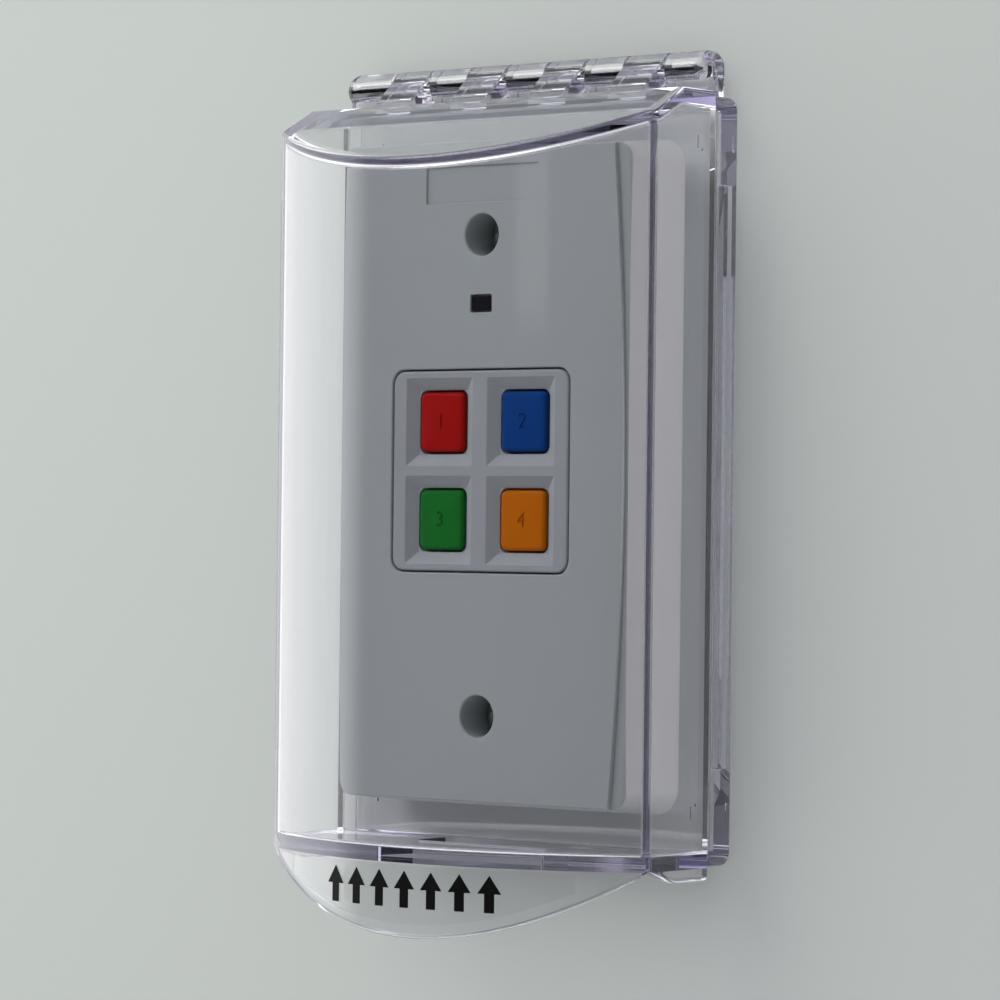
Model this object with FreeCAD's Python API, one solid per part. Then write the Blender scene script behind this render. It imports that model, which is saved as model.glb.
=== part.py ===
import FreeCAD
import Part
import math
import os

from FreeCAD import Vector

# Four-button wireless panic station on a wall, under a clear cover that lifts on a top hinge.
# Millimetres. The origin is on the wall, midway between the two box screws. +Z is up, +X is to the
# right of a person facing the plate, and the front faces -Y. "Depth" is the distance from the wall.

# Wall plate housing, a little narrower than the usual single-gang plate
plate_width = 66.0
plate_height = 115.4
plate_corner = 4.0
housing_depth = 11.8
side_lean = 1.3
edge_bevel = 0.4
shell_wall = 2.0
inner_corner = 2.8
crease_half_mid = 31.0
crease_half_end = 28.5
shoulder_slope = 3.0

# Box screws and their sunk seats
box_screw_spacing = 83.34
screw_well_bore = 7.3
screw_well_wall = 1.5
screw_seat_depth = 8.0
screw_radius = 1.75
screw_neck_radius = 1.45
screw_neck_end = -0.5
screw_length = 22.2
screw_head_radius = 3.3
screw_head_height = 2.1
screw_crown_height = 1.0
screw_crown_radius = 2.2
screw_slot_width = 1.1
screw_slot_depth = 1.1
screw_slot_reach = 2.05
screw_hole_gap = 0.35

# Indicator window and the blank name recess
window_width = 4.3
window_height = 2.7
window_thickness = 1.2
window_ledge = 0.6
window_rise = 29.8
window_sink = 0.15
recess_width = 25.0
recess_height = 6.6
recess_depth = 0.3
recess_rise = 50.5

# Keypad bezel and its four buttons
bezel_width = 39.0
bezel_height = 35.0
bezel_corner = 2.4
bezel_thickness = 2.8
bezel_rise = 0.8
bezel_ledge = 1.5
bezel_ledge_thickness = 1.2
well_depth = 1.3
well_bevel = 2.1
button_width = 10.2
button_height = 10.7
button_corner = 1.1
button_pitch_x = 18.1
button_pitch_z = 17.05
button_sink = 0.55
button_flange = 0.9
button_flange_thickness = 0.8
button_stem = 4.0
button_travel = 0.8

# Circuit board and what is soldered to it
board_width = 58.0
board_height = 71.0
board_thickness = 1.6
switch_size = 6.2
switch_height = 3.3
plunger_size = 3.0
plunger_root = 1.0
plunger_gap = 0.08
led_width = 3.6
led_height = 2.2
led_rim = 0.25
led_rim_height = 1.0
cell_radius = 10.0
cell_thickness = 3.2
cell_x = 15.0
cell_rise = -23.0
cell_tray = 0.3
tray_wall = 1.2
tray_share = 0.7
clip_metal = 0.4
clip_width = 6.0
clip_reach = 3.0
radio_width = 16.0
radio_height = 18.0
radio_board = 0.8
radio_can_height = 2.2
radio_can_margin = 1.5
radio_can_drop = 2.5
radio_can_corner = 0.8
radio_can_bevel = 0.3
radio_x = -15.0
radio_rise = 24.5
chip_size = 7.0
chip_height = 1.4
chip_stand = 0.15
chip_legs = 5
chip_leg_pitch = 1.27
chip_leg_width = 0.4
chip_leg_reach = 0.9
chip_leg_metal = 0.25
chip_x = -14.0
chip_rise = -24.0
crystal_length = 5.0
crystal_width = 3.2
crystal_height = 1.2
crystal_x = -14.0
crystal_rise = -31.5
antenna_metal = 0.5
antenna_width = 1.2
antenna_span = 17.0
antenna_bend = 2.0
antenna_height = 3.5
antenna_x = 20.5
antenna_rise = 23.0

# Rear cover, the posts and screws of the board, and the snap hooks that close the housing
rear_thickness = 2.0
rear_inset = 1.2
rear_corner = 3.0
post_radius = 3.0
rest_size = 4.0
post_x = 25.5
post_z = 32.0
board_screw_radius = 1.0
board_screw_length = 3.0
small_head_radius = 1.9
small_head_height = 1.2
board_gap = 2.0
snap_x = 27.3
snap_rise = 45.0
snap_width = 7.0
snap_wall = 1.2
snap_height = 4.2
snap_barb = 0.9
snap_barb_height = 1.3
snap_ledge = 1.4

# Clear base frame
base_width = 84.0
base_top = 64.8
base_bottom = -66.2
base_corner = 2.5
floor_thickness = 3.0
rim_wall = 2.6
rim_depth = 6.2
relief_half = 49.5
relief_depth = 0.9
relief_back = 1.5
relief_front = 5.2
guide_x = 34.1
guide_rise = 55.6
guide_length = 2.8
guide_foot = 1.4
guide_line = 0.5
guide_height = 0.3
base_window_width = 50.0
base_window_height = 70.0

# Clear bow-front cover
cover_wall = 2.4
cover_gap = 0.3
cover_side_depth = 22.8
bow_rise = 13.0
cover_top = 65.3
slope_start_depth = 15.0
slope_front_top = 54.0
cover_corner_round = 2.0
catch_width = 30.6
catch_reach = 8.3
catch_corner = 1.5
tab_drop = 12.7
label_width = 63.0
label_margin = 2.4
label_film = 0.25

# Hinge
hinge_depth = 3.1
hinge_rise = 69.7
knuckle_radius = 3.0
knuckle_pitch = 8.73
knuckle_gap = 0.3
knuckle_end_inset = 1.8
pin_radius = 1.0
pin_gap = 0.05
pin_tip = 1.6
pin_tip_radius = 0.35
pin_end_wall = 2.9
leaf_reach = 12.0
leaf_slant = 40.0
leaf_under_slant = 10.0
fixed_leaf_slant = 53.0

# Fits
seat_gap = 0.15
slide_gap = 0.25
touch_gap = 0.1
thread_gap = 0.05

# How far every cutter runs past the face that it opens, and how near an edge lies to the face it bounds
past = 1.0
near = 0.01

# Depths worked out from the sizes above
housing_back = floor_thickness + rear_thickness
front_face = housing_back + housing_depth
shell_inside = front_face - shell_wall
board_back = housing_back + board_gap
board_front = board_back + board_thickness
bezel_back = front_face - bezel_thickness
well_floor = front_face - well_depth
button_front = front_face - button_sink
flange_front = bezel_back - touch_gap
flange_back = flange_front - button_flange_thickness
switch_front = board_front + switch_height
plunger_front = switch_front + button_travel + touch_gap
screw_seat = front_face - screw_seat_depth
cover_back = rim_depth + cover_gap
half_width = base_width / 2
bow_front = cover_side_depth + bow_rise
bow_radius = (half_width ** 2 + bow_rise ** 2) / (2 * bow_rise)
bow_centre = bow_front - bow_radius
screw_rise = box_screw_spacing / 2


def at(x, depth, z):
    """Return the point at a sideways place, a distance from the wall and a height."""
    return Vector(x, -depth, z)


def line(start, end):
    """Return a straight edge."""
    return Part.LineSegment(start, end).toShape()


def arc(start, middle, end):
    """Return the round edge through three points."""
    return Part.Arc(start, middle, end).toShape()


def rounded_outline(width, height, radius, depth, x_mid=0.0, z_mid=0.0):
    """Return the wire of an upright rounded rectangle at a distance from the wall."""
    straight_x = width / 2 - radius
    straight_z = height / 2 - radius
    edges = []
    for quarter in range(4):
        turn = math.pi / 2 * quarter
        sign_x = 1 if quarter in (0, 3) else -1
        sign_z = 1 if quarter in (0, 1) else -1
        centre_x = x_mid + sign_x * straight_x
        centre_z = z_mid + sign_z * straight_z
        ends = []
        for step in range(3):
            angle = turn + math.pi / 4 * step
            x = centre_x + radius * math.cos(angle)
            ends.append(at(x, depth, centre_z + radius * math.sin(angle)))
        edges.append((ends, arc(*ends)))
    wire = []
    for index, (ends, corner) in enumerate(edges):
        following = edges[(index + 1) % 4][0]
        wire.append(corner)
        wire.append(line(ends[2], following[0]))
    return Part.Wire(wire)


def plate(width, height, radius, back, front, x_mid=0.0, z_mid=0.0):
    """Return a rounded plate that stands between two distances from the wall."""
    face = Part.Face(rounded_outline(width, height, radius, back, x_mid, z_mid))
    return face.extrude(at(0, front - back, 0))


def tapered_plate(back_size, front_size, back, front, x_mid=0.0, z_mid=0.0):
    """Return a plate whose (width, height, radius) changes evenly from back to front."""
    outlines = [
        rounded_outline(*back_size, back, x_mid, z_mid),
        rounded_outline(*front_size, front, x_mid, z_mid),
    ]
    return Part.makeLoft(outlines, True, True)


def block(x_low, x_high, back, front, z_low, z_high):
    """Return a square-edged block between two distances from the wall."""
    return Part.makeBox(x_high - x_low, front - back, z_high - z_low, at(x_low, front, z_low))


def centred_block(width, height, back, front, x_mid, z_mid):
    """Return a square-edged block about a place on the front."""
    return block(x_mid - width / 2, x_mid + width / 2, back, front, z_mid - height / 2, z_mid + height / 2)


def rod(radius, back, front, x_mid=0.0, z_mid=0.0):
    """Return a round rod that stands out from the wall."""
    return Part.makeCylinder(radius, front - back, at(x_mid, back, z_mid), Vector(0, -1, 0))


def cross_rod(radius, x_low, x_high, depth, z_mid):
    """Return a round rod that runs sideways."""
    return Part.makeCylinder(radius, x_high - x_low, at(x_low, depth, z_mid), Vector(1, 0, 0))


def upright_prism(corners, z_low, z_high):
    """Return a prism that runs upwards, from (x, depth) corners of its section."""
    points = [at(x, depth, z_low) for x, depth in corners]
    face = Part.Face(Part.makePolygon(points + points[:1]))
    return face.extrude(Vector(0, 0, z_high - z_low))


def side_prism(corners, x_low, x_high):
    """Return a prism that runs sideways, from (depth, height) corners of its section."""
    points = [at(x_low, depth, z) for depth, z in corners]
    face = Part.Face(Part.makePolygon(points + points[:1]))
    return face.extrude(Vector(x_high - x_low, 0, 0))


def edges_where(shape, test):
    """Return the edges whose middle point passes a test."""
    return [edge for edge in shape.Edges if test(edge.CenterOfMass)]


def bevel_front(shape, front, size):
    """Return a shape with a bevel round the face that stands at a distance from the wall."""
    rim = edges_where(shape, lambda point: abs(point.y + front) < near)
    return shape.makeChamfer(size, rim)


def joined(shapes):
    """Return one clean solid from touching shapes."""
    whole = shapes[0].fuse(shapes[1:])
    return whole.removeSplitter()


def button_places():
    """Return (number, x, z) of the four buttons, row by row from the top left."""
    places = []
    for row in range(2):
        for column in range(2):
            x = (column - 0.5) * button_pitch_x
            z = bezel_rise + (0.5 - row) * button_pitch_z
            places.append((2 * row + column + 1, x, z))
    return places


def post_places():
    """Return the (x, z) places of the two screw posts, at the upper right and the lower left."""
    return [(post_x, post_z), (-post_x, -post_z)]


def rest_places():
    """Return the (x, z) places of the two plain rests at the other corners of the board."""
    return [(-post_x, post_z), (post_x, -post_z)]


def snap_places():
    """Return (side, z) of the four snap hooks."""
    return [(side, z) for side in (-1, 1) for z in (-snap_rise, snap_rise)]


def screw_places():
    """Return the heights of the two box screws."""
    return (-screw_rise, screw_rise)


def crease_cone(side):
    """Return the wide cone whose edge on the front face is one bowed crease."""
    crease_sag = crease_half_mid - crease_half_end
    half_chord = plate_height / 2
    radius = (half_chord ** 2 + crease_sag ** 2) / (2 * crease_sag)
    axis_x = side * (crease_half_mid - radius)
    wide = radius + shoulder_slope * housing_depth
    return Part.makeCone(wide, radius, housing_depth, at(axis_x, housing_back, 0), Vector(0, -1, 0))


def housing_outside():
    """Return the solid outer form of the plate, with its bowed creases and leaning sides."""
    lean = 2 * side_lean
    back_size = (plate_width, plate_height, plate_corner)
    front_size = (plate_width - lean, plate_height - lean, plate_corner - side_lean)
    form = tapered_plate(back_size, front_size, housing_back, front_face)
    for side in (-1, 1):
        form = form.common(crease_cone(side))
    return form


def housing_inside():
    """Return the hollow of the plate, one wall inside its outer form."""
    wall = 2 * shell_wall
    lean = 2 * side_lean
    back_size = (plate_width - wall, plate_height - wall, inner_corner)
    front_size = (plate_width - wall - lean, plate_height - wall - lean, inner_corner - side_lean)
    return tapered_plate(back_size, front_size, housing_back, shell_inside)


def make_housing_front():
    """Return the moulded front shell, with its screw towers, snap ledges and keypad opening."""
    shell = housing_outside().cut(housing_inside())
    supports = []
    tower = screw_well_bore + 2 * screw_well_wall
    for z in screw_places():
        supports.append(centred_block(tower, tower, housing_back, shell_inside, 0, z))
    for side, z in snap_places():
        supports.append(snap_ledge_block(side, z))
    ledge_front = bezel_back
    ledge_back = ledge_front - bezel_ledge_thickness
    frame = 2 * (bezel_ledge + seat_gap)
    supports.append(centred_block(bezel_width + frame, bezel_height + frame, ledge_back, shell_inside,
                                  0, bezel_rise))
    shell = joined([shell] + supports)
    pocket = 2 * seat_gap
    window_back = front_face - window_sink - window_thickness
    cuts = [
        plate(bezel_width + pocket, bezel_height + pocket, bezel_corner + seat_gap,
              ledge_front, front_face + past, 0, bezel_rise),
        centred_block(bezel_width - 2 * bezel_ledge, bezel_height - 2 * bezel_ledge,
                      ledge_back - past, front_face, 0, bezel_rise),
        centred_block(recess_width, recess_height, front_face - recess_depth, front_face + past,
                      0, recess_rise),
        centred_block(window_width + pocket, window_height + pocket, window_back, front_face + past,
                      0, window_rise),
        centred_block(window_width - 2 * window_ledge, window_height - 2 * window_ledge,
                      shell_inside - past, front_face, 0, window_rise),
    ]
    for z in screw_places():
        cuts.append(rod(screw_well_bore / 2, screw_seat, front_face + past, 0, z))
        cuts.append(rod(screw_radius + screw_hole_gap, 0, front_face, 0, z))
    for cut in cuts:
        shell = shell.cut(cut)
    return shell


def snap_ledge_block(side, z):
    """Return the ledge inside the shell's side wall that one snap hook catches on."""
    front = housing_back + snap_height - touch_gap
    x_in = snap_x + snap_wall + slide_gap
    x_out = plate_width / 2 - shell_wall / 2
    x_low, x_high = sorted((side * x_in, side * x_out))
    return block(x_low, x_high, front - snap_ledge, front, z - snap_width / 2, z + snap_width / 2)


def snap_hook(side, z):
    """Return one springy hook of the rear cover, with its slanted barb."""
    x_out = snap_x + snap_wall
    under = housing_back + snap_height
    top = under + snap_barb_height
    section = [
        (side * snap_x, housing_back),
        (side * x_out, housing_back),
        (side * x_out, under),
        (side * (x_out + snap_barb), under),
        (side * x_out, top),
        (side * snap_x, top),
    ]
    return upright_prism(section, z - snap_width / 2, z + snap_width / 2)


def make_rear_cover():
    """Return the rear cover with its board posts, snap hooks and screw holes."""
    inset = 2 * rear_inset
    cover = plate(plate_width - inset, plate_height - inset, rear_corner, floor_thickness, housing_back)
    stands = [rod(post_radius, housing_back, board_back, x, z) for x, z in post_places()]
    for x, z in rest_places():
        stands.append(centred_block(rest_size, rest_size, housing_back, board_back, x, z))
    for side, z in snap_places():
        stands.append(snap_hook(side, z))
    cover = joined([cover] + stands)
    bore_back = board_front - board_screw_length - touch_gap
    for x, z in post_places():
        cover = cover.cut(rod(board_screw_radius + thread_gap, bore_back, board_back + past, x, z))
    for z in screw_places():
        cover = cover.cut(rod(screw_radius + screw_hole_gap, 0, front_face, 0, z))
    return cover


def bevelled_well(width, height, x, z):
    """Return the cutter of one well, whose four flat slopes meet at mitred corners."""
    top = front_face + past
    spread = well_bevel * (top - well_floor) / well_depth
    half_x = width / 2
    half_z = height / 2
    return Part.makeWedge(x - half_x - spread, -top, z - half_z - spread, z - half_z, x - half_x,
                          x + half_x + spread, -well_floor, z + half_z + spread, z + half_z, x + half_x)


def make_keypad_bezel():
    """Return the bezel with four bevelled wells and the button openings."""
    bezel = plate(bezel_width, bezel_height, bezel_corner, bezel_back, front_face, 0, bezel_rise)
    bezel = bevel_front(bezel, front_face, edge_bevel)
    width = button_width + 2 * slide_gap
    height = button_height + 2 * slide_gap
    for _, x, z in button_places():
        opening = plate(width, height, button_corner + slide_gap, bezel_back - past, front_face, x, z)
        bezel = bezel.cut(bevelled_well(width, height, x, z)).cut(opening)
    return bezel


def make_button(x, z):
    """Return a button cap with its holding flange and the stem that works the switch."""
    cap = plate(button_width, button_height, button_corner, flange_front, button_front, x, z)
    cap = bevel_front(cap, button_front, edge_bevel)
    flange = 2 * (button_flange + slide_gap)
    skirt = centred_block(button_width + flange, button_height + flange, flange_back, flange_front, x, z)
    stem = centred_block(button_stem, button_stem, plunger_front, flange_back, x, z)
    return joined([cap, skirt, stem])


def make_plunger(x, z):
    """Return the moving plunger of one switch."""
    return centred_block(plunger_size, plunger_size, switch_front - plunger_root, plunger_front, x, z)


def make_switch(x, z):
    """Return one switch body with the square well that its plunger slides in."""
    body = centred_block(switch_size, switch_size, board_front, switch_front, x, z)
    bottom = switch_front - plunger_root - button_travel - touch_gap
    well = plunger_size + 2 * plunger_gap
    return body.cut(centred_block(well, well, bottom, switch_front + past, x, z))


def make_circuit_board():
    """Return the circuit board with its two screw holes."""
    board = centred_block(board_width, board_height, board_back, board_front, 0, 0)
    for x, z in post_places():
        board = board.cut(rod(board_screw_radius + touch_gap, 0, front_face, x, z))
    return board


def make_board_screws():
    """Return the two screws that hold the board to its posts."""
    screws = []
    for x, z in post_places():
        shank = rod(board_screw_radius, board_front - board_screw_length, board_front, x, z)
        head = rod(small_head_radius, board_front, board_front + small_head_height, x, z)
        screws.append(joined([shank, head]))
    return Part.makeCompound(screws)


def make_box_screws():
    """Return the two box screws; their shanks stand out behind the wall plane."""
    screws = []
    for z in screw_places():
        end = screw_seat - screw_length
        head_top = screw_seat + screw_head_height
        profile = [
            (0, end),
            (screw_radius, end),
            (screw_radius, screw_neck_end),
            (screw_neck_radius, screw_neck_end),
            (screw_neck_radius, screw_seat),
            (screw_head_radius, screw_seat),
            (screw_head_radius, head_top - screw_crown_height),
            (screw_crown_radius, head_top),
            (0, head_top),
            (0, end),
        ]
        outline = Part.makePolygon([at(x, depth, z) for x, depth in profile])
        body = Part.Face(outline).revolve(at(0, 0, z), Vector(0, 1, 0), 360)
        arm = (screw_slot_width, 2 * screw_slot_reach)
        for width, height in (arm, arm[::-1]):
            body = body.cut(centred_block(width, height, head_top - screw_slot_depth, front_face, 0, z))
        screws.append(body)
    return Part.makeCompound(screws)


def make_led_window():
    """Return the dark window that is let into the front."""
    front = front_face - window_sink
    return centred_block(window_width, window_height, front - window_thickness, front, 0, window_rise)


def make_status_led():
    """Return the oblong indicator lamp that stands on the board under its window."""
    body = centred_block(led_width, led_height, board_front, shell_inside - touch_gap, 0, window_rise)
    rim = centred_block(led_width + 2 * led_rim, led_height + 2 * led_rim, board_front,
                        board_front + led_rim_height, 0, window_rise)
    return joined([body, rim])


def make_coin_cell():
    """Return the button cell that lies on its tray."""
    back = board_front + cell_tray
    return rod(cell_radius, back, back + cell_thickness, cell_x, cell_rise)


def make_cell_tray():
    """Return the moulded tray that holds the cell on the board."""
    outer = cell_radius + seat_gap + tray_wall
    wall_front = board_front + cell_tray + cell_thickness * tray_share
    tray = centred_block(2 * outer, 2 * outer, board_front, wall_front, cell_x, cell_rise)
    hollow = rod(cell_radius + seat_gap, board_front + cell_tray, wall_front + past, cell_x, cell_rise)
    tray = tray.cut(hollow)
    mouth = clip_width / 2 + seat_gap
    return tray.cut(block(cell_x - mouth, cell_x + mouth, board_front + cell_tray, wall_front + past,
                          cell_rise - outer - past, cell_rise + outer + past))


def make_cell_clip():
    """Return the bent strip that presses on the cell and ends in a foot on the board."""
    half = clip_width / 2
    top = board_front + cell_tray + cell_thickness
    low = cell_rise - cell_radius - seat_gap - tray_wall - 2 * clip_metal
    high = cell_rise + clip_reach
    strap = block(cell_x - half, cell_x + half, top, top + clip_metal, low, high)
    leg = block(cell_x - half, cell_x + half, board_front, top + clip_metal, low, low + clip_metal)
    return joined([strap, leg])


def make_radio_board():
    """Return the small radio board that lies on the main one."""
    return centred_block(radio_width, radio_height, board_front, board_front + radio_board,
                         radio_x, radio_rise)


def make_radio_can():
    """Return the pressed shield can on the radio board."""
    width = radio_width - 2 * radio_can_margin
    height = radio_height - 2 * radio_can_drop
    back = board_front + radio_board
    front = back + radio_can_height
    can = plate(width, height, radio_can_corner, back, front, radio_x, radio_rise)
    return bevel_front(can, front, radio_can_bevel)


def make_control_chip():
    """Return the encoder chip with its two rows of legs."""
    half = chip_size / 2
    back = board_front + chip_stand
    body = block(chip_x - half, chip_x + half, back, back + chip_height, chip_rise - half, chip_rise + half)
    legs = []
    reach = half + chip_leg_reach
    for index in range(chip_legs):
        z = chip_rise + (index - (chip_legs - 1) / 2) * chip_leg_pitch
        legs.append(block(chip_x - reach, chip_x + reach, board_front, back + chip_leg_metal,
                          z - chip_leg_width / 2, z + chip_leg_width / 2))
    return joined([body] + legs)


def make_crystal():
    """Return the crystal can that lies on the board."""
    return centred_block(crystal_length, crystal_width, board_front, board_front + crystal_height,
                         crystal_x, crystal_rise)


def make_antenna():
    """Return the bent strip aerial that stands on two legs."""
    low = antenna_rise - antenna_span / 2
    high = antenna_rise + antenna_span / 2
    front = board_front + antenna_height
    outside = strap_form(low, high, front, antenna_bend)
    metal = antenna_metal
    inside = strap_form(low + metal, high - metal, front - metal, antenna_bend - metal)
    return outside.cut(inside)


def strap_form(low, high, front, bend):
    """Return the solid that fills a bent strap from the board up to one of its two skins."""
    inner = bend * (1 - math.sqrt(0.5))
    x_low = antenna_x - antenna_width / 2
    corners = [
        at(x_low, board_front, low),
        at(x_low, front - bend, low),
        at(x_low, front - inner, low + inner),
        at(x_low, front, low + bend),
        at(x_low, front, high - bend),
        at(x_low, front - inner, high - inner),
        at(x_low, front - bend, high),
        at(x_low, board_front, high),
    ]
    outline = Part.Wire([
        line(corners[0], corners[1]),
        arc(corners[1], corners[2], corners[3]),
        line(corners[3], corners[4]),
        arc(corners[4], corners[5], corners[6]),
        line(corners[6], corners[7]),
        line(corners[7], corners[0]),
    ])
    return Part.Face(outline).extrude(Vector(antenna_width, 0, 0))


def knuckles():
    """Return (x_low, x_high, belongs_to_base) of the nine hinge knuckles."""
    spans = []
    for index in range(-4, 5):
        x_low = (index - 0.5) * knuckle_pitch
        x_high = (index + 0.5) * knuckle_pitch
        on_base = index % 2 == 0
        if index == -4:
            x_low = -half_width
        if index == 4:
            x_high = half_width - knuckle_end_inset
        if not on_base:
            x_low += knuckle_gap
            x_high -= knuckle_gap
        spans.append((x_low, x_high, on_base))
    return spans


def hinge_bore():
    """Return the bore that the pin runs in, closed at the right-hand end."""
    radius = pin_radius + pin_gap
    x_high = half_width - knuckle_end_inset - pin_end_wall
    return cross_rod(radius, -half_width - past, x_high, hinge_depth, hinge_rise)


def barrel_point(degrees):
    """Return the (depth, height) of a point on the barrels; 0 looks to the front and 90 up."""
    angle = math.radians(degrees)
    return hinge_depth + knuckle_radius * math.cos(angle), hinge_rise + knuckle_radius * math.sin(angle)


def base_knuckle(x_low, x_high):
    """Return one fixed knuckle with its upright leaf."""
    barrel = cross_rod(knuckle_radius, x_low, x_high, hinge_depth, hinge_rise)
    leaf_back = hinge_depth - knuckle_radius
    leaf = side_prism([
        (leaf_back, base_top - past),
        (leaf_back, hinge_rise),
        (hinge_depth, hinge_rise),
        barrel_point(-fixed_leaf_slant),
        (floor_thickness, base_top - past),
    ], x_low, x_high)
    return joined([barrel, leaf])


def cover_knuckle(x_low, x_high):
    """Return one moving knuckle with the leaf that reaches over to the cover's top."""
    barrel = cross_rod(knuckle_radius, x_low, x_high, hinge_depth, hinge_rise)
    leaf = side_prism([
        barrel_point(-leaf_under_slant - 90),
        barrel_point(leaf_slant),
        (leaf_reach, cover_top),
        (leaf_reach, cover_top - cover_wall / 2),
        (cover_back, cover_top - cover_wall / 2),
        (cover_back, base_top + cover_gap),
    ], x_low, x_high)
    return joined([barrel, leaf])


def make_hinge_pin():
    """Return the steel hinge pin, pointed at the end that goes in first."""
    x_low = -half_width + touch_gap
    x_high = half_width - knuckle_end_inset - pin_end_wall - touch_gap
    shank = cross_rod(pin_radius, x_low, x_high - pin_tip, hinge_depth, hinge_rise)
    tip = Part.makeCone(pin_radius, pin_tip_radius, pin_tip, at(x_high - pin_tip, hinge_depth, hinge_rise),
                        Vector(1, 0, 0))
    return joined([shank, tip])


def guide_marks():
    """Return the four raised L marks on the floor, just outside the corners of the plate."""
    marks = []
    front = floor_thickness + guide_height
    for side in (-1, 1):
        for end in (-1, 1):
            x_foot = side * (guide_x + guide_foot)
            x_line = side * (guide_x + guide_line)
            z_far = end * (guide_rise + guide_length)
            z_foot = end * (guide_rise + guide_line)
            corner = (side * guide_x, end * guide_rise)
            marks.append(block_between(corner, (x_line, z_far), front))
            marks.append(block_between(corner, (x_foot, z_foot), front))
    return marks


def block_between(first, second, front):
    """Return a block from inside the floor to a depth, between two (x, z) corners in any order."""
    x_low, x_high = sorted((first[0], second[0]))
    z_low, z_high = sorted((first[1], second[1]))
    return block(x_low, x_high, floor_thickness / 2, front, z_low, z_high)


def make_base_frame():
    """Return the clear base with its floor, rim, wall-box window and fixed knuckles."""
    height = base_top - base_bottom
    middle = (base_top + base_bottom) / 2
    frame = plate(base_width, height, base_corner, 0, rim_depth, 0, middle)
    hollow = centred_block(base_width - 2 * rim_wall, height - 2 * rim_wall, floor_thickness,
                           rim_depth + past, 0, middle)
    frame = frame.cut(hollow)
    floor_past = floor_thickness + past
    frame = frame.cut(centred_block(base_window_width, base_window_height, -past, floor_past, 0, 0))
    groove = 2 * relief_depth
    for edge in (-half_width, half_width):
        frame = frame.cut(centred_block(groove, 2 * relief_half, relief_back, relief_front, edge, 0))
    for z in screw_places():
        frame = frame.cut(rod(screw_radius + screw_hole_gap, -past, floor_past, 0, z))
    lugs = [base_knuckle(low, high) for low, high, on_base in knuckles() if on_base]
    frame = joined([frame] + lugs + guide_marks())
    return frame.cut(hinge_bore())


def cover_form(inset, z_low, z_high, back):
    """Return the solid bow-front form, drawn in by an inset on every side but the back."""
    width = half_width - inset
    radius = bow_radius - inset
    shoulder = bow_centre + math.sqrt(radius ** 2 - width ** 2)
    corners = [at(-width, back, z_low), at(-width, shoulder, z_low), at(width, shoulder, z_low),
               at(width, back, z_low)]
    crown = at(0, bow_centre + radius, z_low)
    wire = Part.Wire([
        line(corners[0], corners[1]),
        arc(corners[1], crown, corners[2]),
        line(corners[2], corners[3]),
        line(corners[3], corners[0]),
    ])
    form = Part.Face(wire).extrude(Vector(0, 0, z_high - z_low))
    fall = (cover_top - slope_front_top) / (bow_front - slope_start_depth)
    drop = inset * math.hypot(1, fall)
    far = bow_front + past
    start = slope_start_depth - drop / fall + inset / fall
    wedge = side_prism([
        (start, z_high),
        (start, z_high + past),
        (far, z_high + past),
        (far, z_high - fall * (far - start)),
    ], -base_width, base_width)
    return form.cut(wedge)


def bow_sheet(inner, outer, z_low, z_high):
    """Return a curved sheet that lies between two offsets from the bow's outer face."""
    axis = at(0, bow_centre, z_low)
    sheet = Part.makeCylinder(bow_radius + outer, z_high - z_low, axis)
    return sheet.cut(Part.makeCylinder(bow_radius + inner, z_high - z_low, axis))


def tab_profile(width, top, lift):
    """Return the prism that trims a sheet to the tab's round lower edge, seen from the front."""
    radius = (half_width ** 2 + tab_drop ** 2) / (2 * tab_drop)
    low = base_bottom - tab_drop + lift
    half = width / 2
    side_z = low + radius - math.sqrt(radius ** 2 - half ** 2)
    back = bow_centre + bow_radius / 2
    ends = [at(-half, back, side_z), at(half, back, side_z)]
    wire = Part.Wire([
        arc(ends[0], at(0, back, low), ends[1]),
        line(ends[1], at(half, back, top)),
        line(at(half, back, top), at(-half, back, top)),
        line(at(-half, back, top), ends[0]),
    ])
    return Part.Face(wire).extrude(at(0, bow_radius, 0))


def catch_notch():
    """Return the cutter of the notch in the back edge of the cover's bottom wall."""
    half = catch_width / 2
    front = cover_back + catch_reach
    low = base_bottom - past
    inset = catch_corner * (1 - math.sqrt(0.5))
    wire = Part.Wire([
        line(at(-half, cover_back - past, low), at(-half, front - catch_corner, low)),
        arc(at(-half, front - catch_corner, low), at(-half + inset, front - inset, low),
            at(-half + catch_corner, front, low)),
        line(at(-half + catch_corner, front, low), at(half - catch_corner, front, low)),
        arc(at(half - catch_corner, front, low), at(half - inset, front - inset, low),
            at(half, front - catch_corner, low)),
        line(at(half, front - catch_corner, low), at(half, cover_back - past, low)),
        line(at(half, cover_back - past, low), at(-half, cover_back - past, low)),
    ])
    return Part.Face(wire).extrude(Vector(0, 0, cover_wall + 2 * past))


def make_cover():
    """Return the clear cover with its lifting tab and moving knuckles."""
    outside = cover_form(0, base_bottom, cover_top, cover_back)
    corners = edges_where(outside, lambda point: abs(abs(point.x) - half_width) < near
                          and abs(point.y + cover_side_depth) < near)
    outside = outside.makeFillet(cover_corner_round, corners)
    inside = cover_form(cover_wall, base_bottom + cover_wall, cover_top - cover_wall, cover_back - past)
    shell = outside.cut(inside)
    tab = bow_sheet(-cover_wall, 0, base_bottom - tab_drop - past, base_bottom + cover_wall)
    tab = tab.common(tab_profile(base_width - 2 * touch_gap, base_bottom + cover_wall, 0))
    lugs = [cover_knuckle(low, high) for low, high, on_base in knuckles() if not on_base]
    cover = joined([shell, tab] + lugs)
    return cover.cut(hinge_bore()).cut(catch_notch())


def make_grip_label():
    """Return the thin clear film that lies on the tab's front."""
    top = base_bottom - seat_gap
    film = bow_sheet(0, label_film, base_bottom - tab_drop - past, top)
    return film.common(tab_profile(label_width, top, label_margin))


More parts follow.
